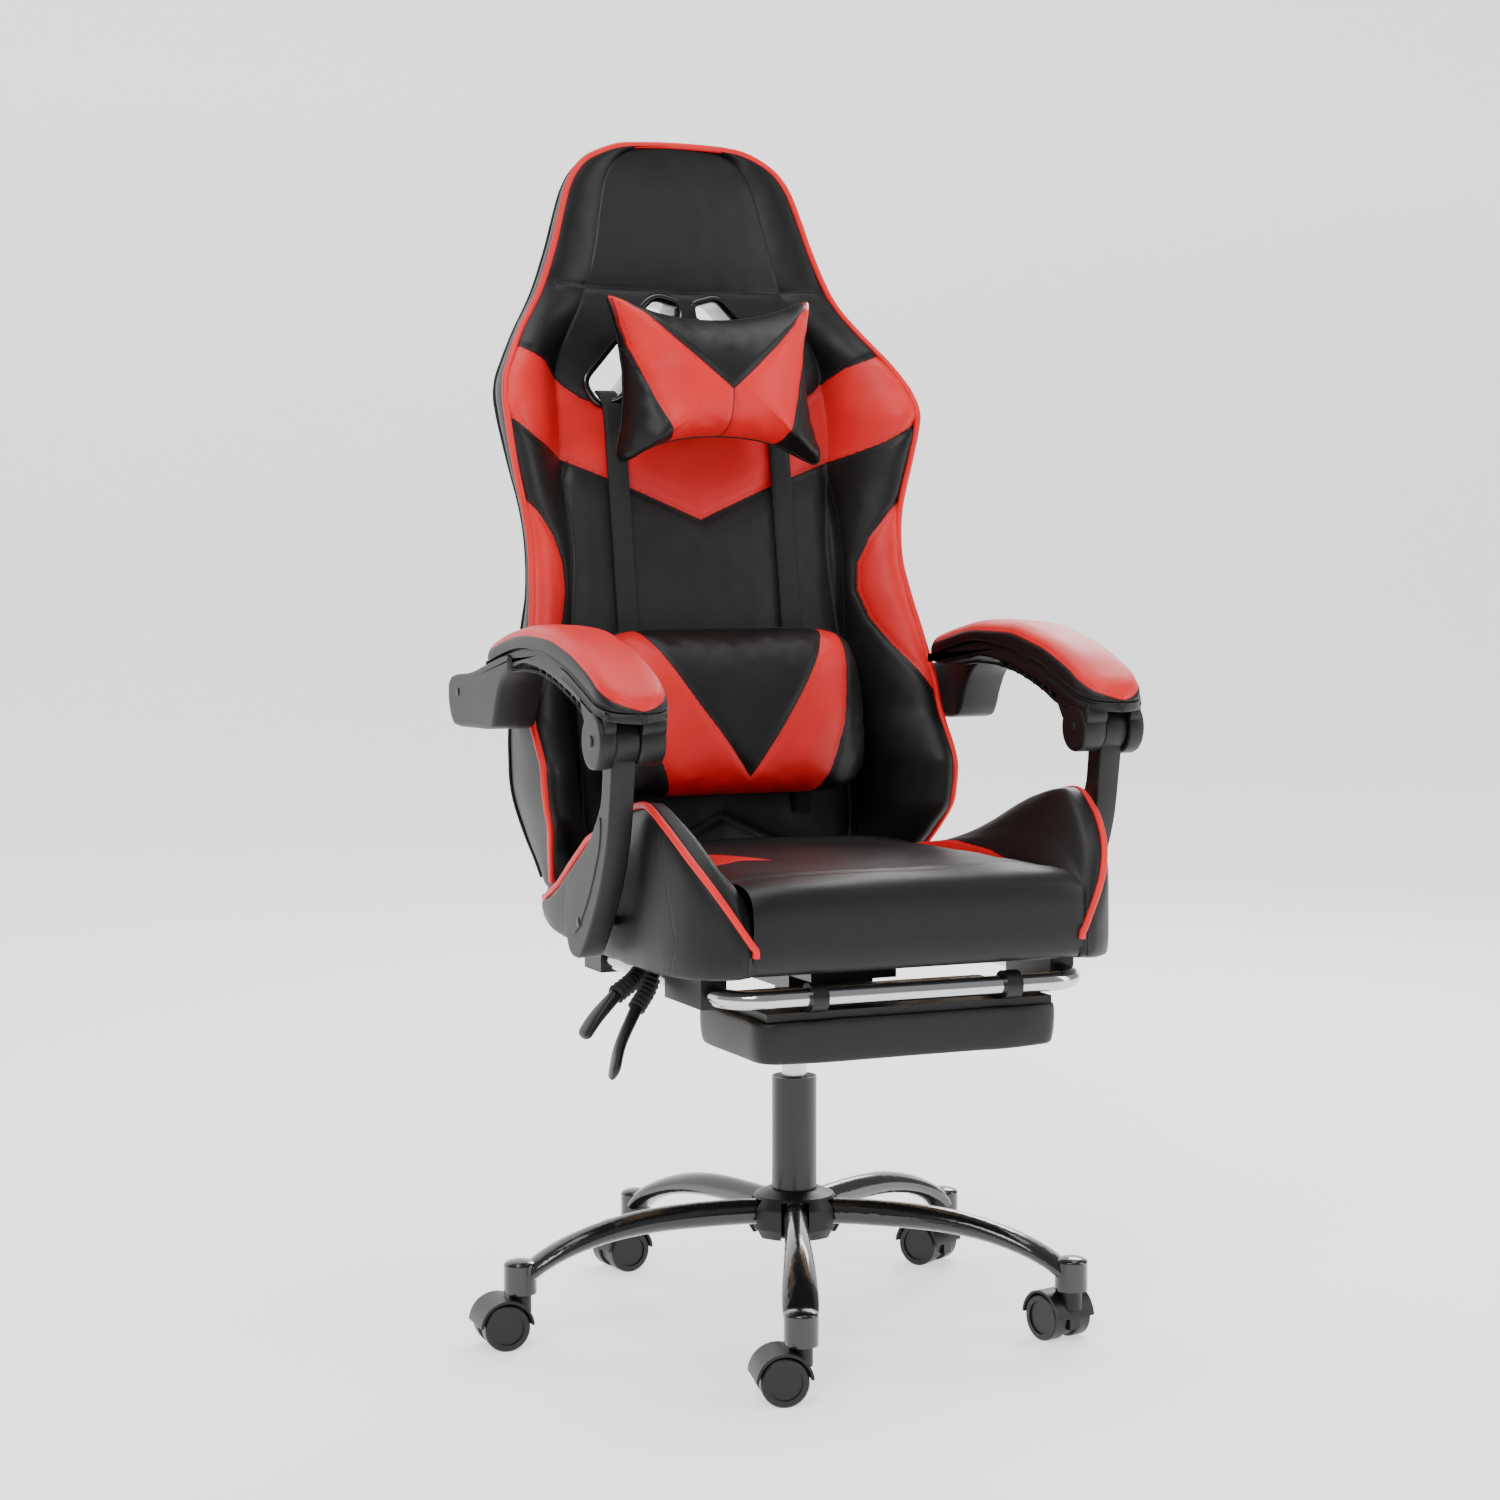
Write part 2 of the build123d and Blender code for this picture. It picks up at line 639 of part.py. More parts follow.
def main():
    os.makedirs("parts", exist_ok=True)
    save("base_legs", base_legs())
    save("base_hub", base_hub())
    save("hub_cover", hub_cover())
    save("column_tube", column_tube())
    save("guide_bush", guide_bush())
    save("piston_rod", piston_rod())
    save("lift_tube", lift_tube())
    hood, pins = caster_hood(), caster_pins()
    for i in range(leg_count):
        name = str(i + 1)
        save("caster_hood_" + name, place_caster(i, hood))
        save("caster_pins_" + name, place_caster(i, pins))
        save("caster_wheel_" + name + "_left", place_caster(i, caster_wheel(1)))
        save("caster_wheel_" + name + "_right", place_caster(i, caster_wheel(-1)))

    ring = seat_frame()
    board = seat_board(ring)
    brackets = recline_brackets()
    bolts = arm_bolts()
    save("mechanism", mechanism())
    save("seat_frame", ring)
    save("seat_board", board)
    save("seat_cushion", seat_cushion(ring, board))
    save("seat_bolsters", seat_bolsters(ring, board, brackets, bolts))
    save("footrest_guides", footrest_guides())
    save("recline_brackets", brackets)
    save("arm_bolts", bolts)

    for name, y, knee, tip in (("lift_lever", lift_lever_y, lift_lever_knee, lift_lever_tip),
                               ("recline_lever", recline_lever_y, recline_lever_knee,
                                recline_lever_tip)):
        rod = lever_rod(y, knee)
        boot = lever_boot(y, knee, rod)
        save(name + "_rod", rod)
        save(name + "_boot", boot)
        save(name + "_paddle", lever_paddle(knee, tip, [rod, boot]))

    save("footrest_frame", footrest_frame())
    save("footrest_board", footrest_board())
    save("footrest_pad", footrest_pad())
    save("footrest_clips", footrest_clips())

    frame = back_frame()
    rear_bolts = both(arm_rear_bolts())
    save("back_frame", frame)
    save("back_pad", back_pad(frame, rear_bolts))
    save("strap_bezels", strap_bezels())
    save("lumbar_straps", lumbar_straps())
    save("arm_rear_bolts", group([bolt - frame for bolt in rear_bolts]))
    save("head_pillow", head_pillow())
    save("lumbar_pillow", lumbar_pillow())

    for maker, name in ((arm_shell, "arm_shell"), (arm_pad, "arm_pad"), (arm_post, "arm_post"),
                        (arm_pin, "arm_pin")):
        left, right = both(maker())
        save(name + "_left", left)
        save(name + "_right", right)


main()
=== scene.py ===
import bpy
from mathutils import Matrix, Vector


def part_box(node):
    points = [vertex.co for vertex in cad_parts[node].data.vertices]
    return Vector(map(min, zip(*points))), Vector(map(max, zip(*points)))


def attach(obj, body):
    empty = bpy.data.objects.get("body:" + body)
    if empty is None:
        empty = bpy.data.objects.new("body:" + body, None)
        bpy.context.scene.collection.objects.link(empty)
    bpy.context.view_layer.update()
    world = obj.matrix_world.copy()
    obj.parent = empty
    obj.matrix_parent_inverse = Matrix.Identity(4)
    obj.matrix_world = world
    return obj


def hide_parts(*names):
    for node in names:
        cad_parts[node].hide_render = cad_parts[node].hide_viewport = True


bl_info = {
    "name": "Gaming chair",
    "version": (1, 0, 0),
    "blender": (4, 5, 0),
    "location": "View3D > Sidebar > Chair",
    "description": "Builds the looks of a padded gaming chair round its CAD frame",
    "category": "Object",
}

import math

import bmesh
import bpy
import numpy as np
from mathutils import Vector

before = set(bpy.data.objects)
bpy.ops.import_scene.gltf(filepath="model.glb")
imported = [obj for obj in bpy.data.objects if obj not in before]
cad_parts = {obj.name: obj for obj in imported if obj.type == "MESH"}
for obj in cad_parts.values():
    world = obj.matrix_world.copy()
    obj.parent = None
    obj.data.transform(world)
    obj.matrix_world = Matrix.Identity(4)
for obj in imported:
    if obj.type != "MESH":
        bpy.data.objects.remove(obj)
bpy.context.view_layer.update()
LEAN = math.tan(math.radians(10))
MM = 0.001

# Pivots in the side view (y, z) and the middle of the arm across (x), millimetres.
KNUCKLE = (-200.0, 669.0)
POST_PIVOT = (-112, 476)
REAR_BOLT = (240, 699)
ARM_CENTRE = 274.0


# ---------------- shader building ----------------

class Socket:
    """A shader value with ordinary arithmetic."""

    def __init__(self, tree, out):
        self.tree, self.out = tree, out

    def math(self, op, *others, clamp=False):
        node = self.tree.nodes.new("ShaderNodeMath")
        node.operation, node.use_clamp = op, clamp
        for slot, value in zip(node.inputs, (self,) + others):
            plug(self.tree, slot, value)
        return Socket(self.tree, node.outputs[0])

    def __add__(self, other):
        return self.math("ADD", other)

    def __mul__(self, other):
        return self.math("MULTIPLY", other)

    def __sub__(self, other):
        return self.math("SUBTRACT", other)

    def __rsub__(self, other):
        return (self * -1.0) + other

    def __truediv__(self, other):
        return self.math("DIVIDE", other)

    __radd__ = __add__
    __rmul__ = __mul__

    def below(self, edge, soft=0.5):
        """1 where the value is under edge, 0 above, with a soft step."""
        return ((edge - self) / (2.0 * soft) + 0.5).math("ADD", 0.0, clamp=True)


def plug(tree, slot, value):
    if isinstance(value, Socket):
        tree.links.new(value.out, slot)
    else:
        slot.default_value = value


class Paint:
    """One material and the nodes that feed its main shader."""

    def __init__(self, name, color, rough, **settings):
        self.material = bpy.data.materials.new(name)
        self.material.use_nodes = True
        self.tree = self.material.node_tree
        self.shader = self.tree.nodes["Principled BSDF"]
        self.shader.inputs["Base Color"].default_value = (*color, 1)
        self.shader.inputs["Roughness"].default_value = rough
        for key, value in settings.items():
            self.shader.inputs[key.replace("_", " ")].default_value = value

    def node(self, kind, settings=None, output=0, **inputs):
        node = self.tree.nodes.new("ShaderNode" + kind)
        for key, value in (settings or {}).items():
            setattr(node, key, value)
        for key, value in inputs.items():
            plug(self.tree, node.inputs[key.replace("_", " ")], value)
        return Socket(self.tree, node.outputs[output])

    def attribute(self, name):
        node = self.tree.nodes.new("ShaderNodeAttribute")
        node.attribute_name = name
        return Socket(self.tree, node.outputs["Fac"])

    def place(self):
        return self.node("TexCoord", output="Object")

    def noise(self, scale, detail=3.0, rough=0.5):
        return self.node("TexNoise", Vector=self.place(), Scale=scale, Detail=detail, Roughness=rough)

    def cells(self, scale):
        return self.node("TexVoronoi", {"feature": "DISTANCE_TO_EDGE"}, Vector=self.place(), Scale=scale)

    def mix(self, factor, a, b):
        """Colour a where factor is 0, b where it is 1."""
        node = self.tree.nodes.new("ShaderNodeMix")
        node.data_type = "RGBA"
        for slot, value in ((0, factor), (6, a), (7, b)):
            plug(self.tree, node.inputs[slot], (*value, 1) if isinstance(value, tuple) else value)
        return Socket(self.tree, node.outputs[2])

    def feed(self, slot, value):
        plug(self.tree, self.shader.inputs[slot], value)

    def bump(self, height, strength, distance):
        self.feed("Normal", self.node("Bump", Strength=strength, Distance=distance, Height=height))


materials = {}


def look():
    """The chair's settings on the current scene."""
    return bpy.context.scene.chair


def leather(name, base, zones=True, rough=0.47):
    """Grained synthetic leather with colour zones, seam lines and stitches from attributes."""
    paint = Paint(name, base, rough, Specular_IOR_Level=0.34)
    grain = paint.cells(520.0).math("MULTIPLY", 8.0, clamp=True)
    cloud = paint.noise(9.0)
    height = grain * 0.35 + paint.noise(240.0, 4.0) * 0.6 + paint.noise(26.0) * 1.2
    color = base
    if zones:
        red = paint.attribute("red").below(0.0, 0.6)
        # This mask gives the back's panels their lighter colour and also paints a highlight: the lighter
        # sheen on the seat top.
        gray = paint.attribute("gray").below(0.0, 4.0)
        seam = paint.attribute("seam")
        color = paint.mix(gray, base, tuple(look().panel_and_sheen_color))
        color = paint.mix(red, color, tuple(look().trim_color))
        color = paint.mix(seam.below(0.8, 0.5) * 0.75, color, (0.002, 0.002, 0.002))
        spot = paint.node("SeparateXYZ", output="Z", Vector=paint.place())
        side = paint.node("SeparateXYZ", output="X", Vector=paint.place())
        dash = ((spot + side) * 1100.0).math("SINE").math("GREATER_THAN", -0.35)
        thread = (seam - 3.4).math("ABSOLUTE").below(0.35, 0.2) * dash
        tint = paint.mix(red, (0.03, 0.03, 0.032), (0.5, 0.012, 0.014))
        color = paint.mix(thread * 0.8, color, tint)
        height = height - seam.below(1.6, 1.4) * 2.0 + thread * 1.5
    shade = cloud * 0.5 + 0.75
    vector = paint.node("VectorMath", {"operation": "SCALE"}, Scale=shade)
    scaled = vector.out.node
    if isinstance(color, Socket):
        paint.tree.links.new(color.out, scaled.inputs[0])
    else:
        scaled.inputs[0].default_value = color
    paint.feed("Base Color", vector)
    paint.feed("Roughness", cloud * 0.16 + (rough - 0.08) + grain * -0.03)
    paint.bump(height, 0.22, 0.0006)
    return paint.material


def plastic(name, color, rough, grain=0.0, coat=0.0):
    paint = Paint(name, color, rough, Specular_IOR_Level=0.36)
    if coat:
        paint.shader.inputs["Coat Weight"].default_value = coat
        paint.shader.inputs["Coat Roughness"].default_value = 0.06
    paint.feed("Roughness", paint.noise(14.0) * 0.12 + (rough - 0.06))
    if grain:
        paint.bump(paint.noise(900.0, 3.0, 0.6) + paint.cells(700.0) * 0.5, grain, 0.0004)
    return paint.material


def metal(name, color, rough):
    paint = Paint(name, color, rough, Metallic=1.0)
    paint.feed("Roughness", paint.noise(30.0) * 0.08 + (rough - 0.04))
    paint.bump(paint.noise(60.0), 0.03, 0.0003)
    return paint.material


def webbing(name):
    paint = Paint(name, (0.008, 0.008, 0.009), 0.75)
    weave = paint.node("TexWave", {"wave_type": "BANDS", "bands_direction": "Z"}, Vector=paint.place(),
                       Scale=160.0, Distortion=0.6)
    paint.feed("Roughness", weave * 0.1 + 0.7)
    paint.bump(weave, 0.35, 0.0006)
    return paint.material


def wood(name):
    paint = Paint(name, (0.5, 0.33, 0.18), 0.6)
    rings = paint.node("TexWave", {"bands_direction": "X"}, Vector=paint.place(), Scale=14.0, Distortion=6.0,
                       Detail=3.0)
    paint.feed("Base Color", paint.mix(rings, (0.42, 0.27, 0.14), (0.58, 0.4, 0.22)))
    paint.bump(rings, 0.15, 0.0005)
    return paint.material


def make_materials():
    materials.update(
        leather=leather("leather", tuple(look().leather_color)),
        plain=leather("plain_leather", tuple(look().leather_color), zones=False),
        piping=leather("piping_leather", tuple(look().trim_color), zones=False, rough=0.48),
        arm=plastic("arm_plastic", (0.0065, 0.0067, 0.007), 0.46, 0.35),
        matte=plastic("matte_black", (0.005, 0.005, 0.0053), 0.42, 0.25),
        gloss=plastic("gloss_black", (0.006, 0.006, 0.0065), 0.2, 0.0, 0.7),
        wheel=plastic("wheel_nylon", (0.008, 0.008, 0.0085), 0.38, 0.15),
        rubber=plastic("rubber", (0.008, 0.008, 0.008), 0.6, 0.3),
        steel=plastic("black_steel", (0.012, 0.012, 0.012), 0.35, 0.1, 0.2),
        chrome=metal("chrome", (0.55, 0.55, 0.57), 0.14),
        bright=metal("bright_steel", (0.6, 0.6, 0.61), 0.24),
        webbing=webbing("webbing"), wood=wood("plywood"))


# ---------------- mesh helpers (millimetres) ----------------

def smooth_curve(xs, ys, x):
    """Smooth monotone curve through points, at x."""
    xs, ys = np.array(xs, float), np.array(ys, float)
    h, d = np.diff(xs), np.diff(ys) / np.diff(xs)
    m = np.zeros(len(xs))
    inner = d[:-1] * d[1:] > 0
    w1, w2 = 2 * h[1:] + h[:-1], h[1:] + 2 * h[:-1]
    with np.errstate(divide="ignore", invalid="ignore"):
        m[1:-1] = np.where(inner, (w1 + w2) / (w1 / d[:-1] + w2 / d[1:]), 0)
    m[0], m[-1] = d[0], d[-1]
    i = np.clip(np.searchsorted(xs, x) - 1, 0, len(h) - 1)
    t = (np.clip(x, xs[0], xs[-1]) - xs[i]) / h[i]
    return ((1 + 2 * t) * (1 - t) ** 2 * ys[i] + t * (1 - t) ** 2 * h[i] * m[i]
            + t * t * (3 - 2 * t) * ys[i + 1] + t * t * (t - 1) * h[i] * m[i + 1])


def spline(points, count, closed=False):
    """Points spaced evenly along a smooth line through the given ones."""
    p = np.array(points, float)
    p = np.vstack([p[-1:], p, p[:2]]) if closed else np.vstack([2 * p[:1] - p[1:2], p, 2 * p[-1:] - p[-2:-1]])
    t = np.linspace(0, 1, 24, endpoint=False)[:, None]
    out = []
    for a, b, c, d in zip(p, p[1:], p[2:], p[3:]):
        out.append(0.5 * (2 * b + (c - a) * t + (2 * a - 5 * b + 4 * c - d) * t ** 2
                          + (3 * b - a - 3 * c + d) * t ** 3))
    out = np.vstack(out + [out[0][:1] if closed else p[-2:-1]])
    length = np.r_[0, np.cumsum(np.linalg.norm(np.diff(out, axis=0), axis=1))]
    want = np.linspace(0, length[-1], count, endpoint=not closed)
    return np.stack([np.interp(want, length, out[:, k]) for k in range(out.shape[1])], 1)


def line_distance(points, line):
    """Distance from 2-D points to a polyline."""
    best = np.full(len(points), 1e9)
    for a, b in zip(np.array(line, float), np.array(line, float)[1:]):
        d = b - a
        t = np.clip(((points - a) @ d) / max(d @ d, 1e-9), 0, 1)
        best = np.minimum(best, np.linalg.norm(points - a - t[:, None] * d, axis=1))
    return best


def area_distance(points, polygon):
    """Signed distance from 2-D points to a polygon, negative inside."""
    loop = list(polygon) + [polygon[0]]
    inside = np.zeros(len(points), bool)
    for (x0, y0), (x1, y1) in zip(loop, loop[1:]):
        if y0 != y1:
            cross = (points[:, 1] > min(y0, y1)) & (points[:, 1] <= max(y0, y1))
            at = x0 + (points[:, 1] - y0) * (x1 - x0) / (y1 - y0)
            inside ^= cross & (points[:, 0] < at)
    d = line_distance(points, loop)
    return np.where(inside, -d, d)


def fold(points):
    """Half-outline turned into a full one, mirrored in x."""
    return list(points) + [(-x, z) for x, z in reversed(points)]


def ripple(v, scale, seed):
    """Soft irregular waves between -1 and 1."""
    rng = np.random.default_rng(seed)
    total = np.zeros(len(v))
    for i in range(9):
        k = rng.normal(size=3)
        k *= (0.6 + 0.9 * rng.random()) / scale / np.linalg.norm(k)
        total += np.sin(v @ k * 2 * math.pi + rng.random() * 7)
    return total / 4.5


def build(name, verts, faces, material, body, replaces=(), slot=None, weld=0.0, smooth=True):
    """Mesh object in metres that rides on a body."""
    mesh = bpy.data.meshes.new(name)
    mesh.from_pydata((np.array(verts, float) * 0.001).tolist(), [], faces)
    obj = bpy.data.objects.new(name, mesh)
    bpy.context.scene.collection.objects.link(obj)
    bm = bmesh.new()
    bm.from_mesh(mesh)
    if weld:
        bmesh.ops.remove_doubles(bm, verts=bm.verts, dist=weld)
    bmesh.ops.recalc_face_normals(bm, faces=bm.faces)
    bm.to_mesh(mesh)
    bm.free()
    for polygon in mesh.polygons:
        polygon.use_smooth = smooth
    mesh.materials.append(materials[material])
    if body:
        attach(obj, body)
    if replaces:
        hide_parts(*replaces)
    return obj


def grid(rows, cols, wrap=True):
    """Faces of a grid of vertices, closed round when wrapped."""
    faces = []
    for r in range(rows - 1):
        for c in range(cols if wrap else cols - 1):
            d = (c + 1) % cols
            faces.append((r * cols + c, r * cols + d, (r + 1) * cols + d, (r + 1) * cols + c))
    return faces


def capped(rows, cols):
    faces = grid(rows, cols)
    faces.append(tuple(range(cols)))
    faces.append(tuple(range((rows - 1) * cols, rows * cols)))
    return faces


def mark(obj, **values):
    """Float attributes worked out from the vertices, in millimetres."""
    for key, value in values.items():
        layer = obj.data.attributes.new(key, "FLOAT", "POINT")
        layer.data.foreach_set("value", np.asarray(value, np.float32))


def tube(name, path, radius, material, body, sides=12, closed=False, **more):
    """Round tube along a path."""
    p = np.array(path, float)
    n = len(p)
    ahead = np.roll(p, -1, 0) - np.roll(p, 1, 0)
    if not closed:
        ahead[0], ahead[-1] = p[1] - p[0], p[-1] - p[-2]
    ahead /= np.linalg.norm(ahead, axis=1)[:, None]
    up = np.cross(ahead[0], (0.3, 0.5, 0.8))
    verts = []
    for i in range(n):
        up = up - ahead[i] * (up @ ahead[i])
        up /= np.linalg.norm(up)
        across = np.cross(ahead[i], up)
        for k in range(sides):
            a = 2 * math.pi * k / sides
            verts.append(p[i] + radius * (math.cos(a) * up + math.sin(a) * across))
    faces = grid(n, sides) if closed else capped(n, sides)
    if closed:
        base = (n - 1) * sides
        faces += [(base + k, base + (k + 1) % sides, (k + 1) % sides, k) for k in range(sides)]
    return build(name, verts, faces, material, body, **more)


def modifier(obj, kind, **settings):
    made = obj.modifiers.new(kind.lower(), kind)
    for key, value in settings.items():
        setattr(made, key, value)
    return made


def bevel(obj, width, segments=3, angle=28):
    modifier(obj, "BEVEL", width=width * 0.001, segments=segments, limit_method="ANGLE",
             angle_limit=math.radians(angle), harden_normals=False)
    modifier(obj, "WEIGHTED_NORMAL", keep_sharp=False)


def plate(name, outline, x0, x1, material, body, edge=3.0, count=120, **more):
    """Plate with a smooth outline in the side view and rounded edges."""
    line = spline(outline, count, True)
    n = len(line)
    away = np.roll(line, -1, 0) - np.roll(line, 1, 0)
    away = np.stack([away[:, 1], -away[:, 0]], 1) / np.linalg.norm(away, axis=1)[:, None]
    if area_distance(line[:1] + away[:1], line)[0] < 0:
        away = -away
    verts = []
    for x, inset in ((x0, edge * 2.2), (x0, edge), (x0 + edge * 0.3, edge * 0.3), (x0 + edge, 0),
                     (x1 - edge, 0), (x1 - edge * 0.3, edge * 0.3), (x1, edge), (x1, edge * 2.2)):
        ring = line - away * inset
        verts += [(x, y, z) for y, z in ring]
    return build(name, verts, capped(8, n), material, body, **more)


# ---------------- back ----------------

OUTLINE = [(0, 471), (150, 471), (205, 473), (222, 479), (229, 500), (242, 540), (252, 580), (254, 620),
           (253, 690),
           (244, 760), (237, 803), (232, 855), (236, 905), (249, 965), (258, 1017), (255, 1050), (236, 1088),
           (217, 1117), (188, 1160), (166, 1213), (150, 1265), (137, 1299), (115, 1324), (80, 1338),
           (40, 1342),
           (0, 1343)]
STATION_Z = [471, 498, 530, 566, 610, 644, 672, 700, 745, 803, 850, 925, 1017, 1056, 1094, 1117, 1160, 1213,
             1270, 1300, 1343]
FRONT_Y = [174, 159, 132, 109, 109, 130, 150, 157, 174, 196, 213, 224, 219, 240, 268, 288, 311, 323,
           334, 340, 350]
REAR_Y = [205, 211, 220, 228, 235, 236, 232, 229, 226, 226, 238, 249, 264, 283, 304, 322, 348, 360,
          366, 367, 366]
DEPTH = [26, 42, 50, 54, 55, 55, 55, 55, 55, 55, 55, 55, 55, 55, 55, 55, 52, 48, 40, 32, 16]
SLOT = [(88, 1036), (121, 1028), (139, 1058), (42, 1163), (8, 1153), (7, 1139)]
BAND = fold([(0, 896), (60, 922), (102, 940), (172, 966), (222, 990), (275, 1024), (275, 1090), (228, 1094),
             (192, 1080), (162, 1052), (140, 1037), (105, 1028), (0, 1028)])
LEAF = [(246, 928), (222, 905), (200, 876), (187, 845), (185, 812), (194, 780), (212, 748), (234, 718),
        (250, 694), (258, 676), (300, 676), (300, 928)]
PANEL = fold([(0, 520), (150, 520), (170, 560), (173, 640), (170, 760), (170, 900), (168, 942), (158, 972),
              (0, 972)])
HEAD = fold([(0, 1175), (120, 1175), (146, 1180), (132, 1240), (112, 1286), (84, 1312), (0, 1322)])


def lean_y(z):
    return 275 + (z - 895) * LEAN


def bezier(a, b, c, d, t):
    return (1 - t) ** 3 * a + 3 * t * (1 - t) ** 2 * b + 3 * t * t * (1 - t) * c + t ** 3 * d


def back_surface(rows):
    """Rows of closed cross-sections from the bottom of the back to its top."""
    line = spline(OUTLINE, rows)
    w, z = np.maximum(line[:, :1], 0.0), line[:, 1:]
    front, rear = smooth_curve(STATION_Z, FRONT_Y, z), smooth_curve(STATION_Z, REAR_Y, z)
    middle, depth = lean_y(z), smooth_curve(STATION_Z, DEPTH, z)
    head = np.clip((z - 1100) / 90, 0, 1)
    seam = np.minimum(171, (0.70 - 0.02 * head) * w)
    rise = middle - front
    a = np.linspace(0, 1, 44)[None, :]
    xs, ys, kinds = [seam * a], [middle - 5 * (1 - a ** 2) * np.minimum(1, w / 120)], [np.zeros(44)]
    b = np.linspace(0, 1, 46)[None, 1:]
    puff = 9 - 3 * head
    xs.append(bezier(seam, seam + 0.26 * (w - seam), seam + 0.74 * (w - seam), w, b))
    ys.append(bezier(middle, middle - 0.42 * rise - puff, front - puff - 0.12 * rise, front, b))
    kinds.append(np.zeros(45) + 1)
    c = np.linspace(0, 1, 13)[None, 1:]
    xs.append(w + 3.0 * np.sin(math.pi * c) * np.minimum(1, w / 60) - 3 * c ** 2 * np.minimum(1, w / 60))
    ys.append(front + (rear - front) * c)
    kinds.append(np.zeros(12) + 2)
    d = np.linspace(0, 1, 50)[None, 1:]
    edge = w - 3 * np.minimum(1, w / 60)
    xs.append(bezier(edge, edge - 0.02 * w, 0.62 * w, 0 * w, d))
    ys.append(bezier(rear, rear + 0.6 * (middle + depth - rear), middle + depth, middle + depth, d))
    kinds.append(np.zeros(49) + 3)
    x, y = np.hstack(xs), np.hstack(ys)
    kind = np.hstack(kinds)
    n = x.shape[1]
    back = slice(n - 2, 0, -1)
    x, y = np.hstack([x, -x[:, back]]), np.hstack([y, y[:, back]])
    kind = np.hstack([kind, kind[back]])
    full = x.shape[1]
    verts = np.stack([x, y, np.repeat(z, full, 1)], 2).reshape(-1, 3)
    return verts, np.tile(kind, rows), full, line


def build_back():
    rows = 320
    verts, kind, cols, line = back_surface(rows)
    flat = verts[:, [0, 2]].copy()
    mirrored = np.abs(flat) * (1, 1)
    mirrored[:, 1] = flat[:, 1]
    front = kind < 1.5
    band = area_distance(flat, BAND)
    leaf = area_distance(mirrored, LEAF)
    red = np.where(front, np.minimum(band, leaf), 20.0)
    gray = np.maximum(area_distance(flat, PANEL), -band)
    # The head area is coloured lighter, with a soft edge.
    gray = np.minimum(gray, area_distance(flat, HEAD) * 0.16 + 2)
    seams = [np.abs(band), np.abs(leaf)]
    side = [(171, 520), (171, 640), (171, 760), (171, 900), (169, 942), (160, 966)]
    seams.append(line_distance(mirrored, side))
    seams.append(line_distance(mirrored, [(0, 548), (60, 520), (150, 470)]))
    seams.append(line_distance(flat, [(-166, 1172), (0, 1166), (166, 1172)]) + 1.5)
    seams.append(line_distance(mirrored, [(262, 1000), (238, 926), (222, 905)]) + 4)
    seam = np.where(front, np.minimum.reduce(seams), 20.0)
    verts[:, 1] += np.where(front, 3.2 * np.exp(-(seam / 4.5) ** 2), 0)
    cushion = np.clip(np.minimum(seam, 26) / 26, 0, 1)
    verts[:, 1] -= np.where(kind < 0.5, 4 * cushion, 2.0 * cushion)
    dish = np.exp(-(area_distance(flat, HEAD) / 26) ** 2)
    verts[:, 1] += np.where(front, 2.0 * dish, 0)
    verts += np.stack([0 * seam, ripple(verts, 95, 3) * 1.1 + ripple(verts, 34, 5) * 0.35, 0 * seam], 1)
    hole = area_distance(mirrored, [(x, z) for x, z in SLOT])
    faces = [f for f in grid(rows, cols) if np.mean(hole[list(f)]) > -1 or kind[f[0]] == 2]
    obj = build("back_cover", verts, faces, "leather", "back", ["back_pad"], "leather", 0.0)
    mark(obj, red=red, gray=np.where(front, gray, 30.0), seam=seam)
    edge = smooth_curve(STATION_Z, FRONT_Y, line[:, 1])
    half = np.stack([line[:, 0] + 1.0, edge - 1.5, line[:, 1]], 1)
    keep = half[(half[:, 2] > 476)]
    path = np.vstack([keep, keep[::-1] * (-1, 1, 1)])
    path[:, 2] += np.where(path[:, 2] > 1336, 1.5, 0)
    tube("back_piping", spline(path[::6], 520), look().back_piping / MM, "piping", "back", slot="leather")
    rear = smooth_curve(STATION_Z, REAR_Y, line[:, 1])
    half = np.stack([line[:, 0] - 2.0, rear + 0.5, line[:, 1]], 1)
    keep = half[(half[:, 2] > 476)]
    path = np.vstack([keep, keep[::-1] * (-1, 1, 1)])
    tube("back_rear_seam", spline(path[::6], 420), 1.8, "plain", "back", slot="leather")


def round_loop(points, count, cut=0.3):
    """Closed outline with rounded corners."""
    out = []
    n = len(points)
    for i in range(n):
        a, b, c = (np.array(points[(i + k) % n], float) for k in (-1, 0, 1))
        r = min(np.linalg.norm(b - a), np.linalg.norm(c - b)) * cut
        p, q = b + (a - b) / np.linalg.norm(a - b) * r, b + (c - b) / np.linalg.norm(c - b) * r
        for t in np.linspace(0, 1, 7):
            out.append((1 - t) ** 2 * p + 2 * t * (1 - t) * b + t * t * q)
    out = np.array(out + [out[0]])
    length = np.r_[0, np.cumsum(np.linalg.norm(np.diff(out, axis=0), axis=1))]
    want = np.linspace(0, length[-1], count, endpoint=False)
    return np.stack([np.interp(want, length, out[:, k]) for k in (0, 1)], 1)


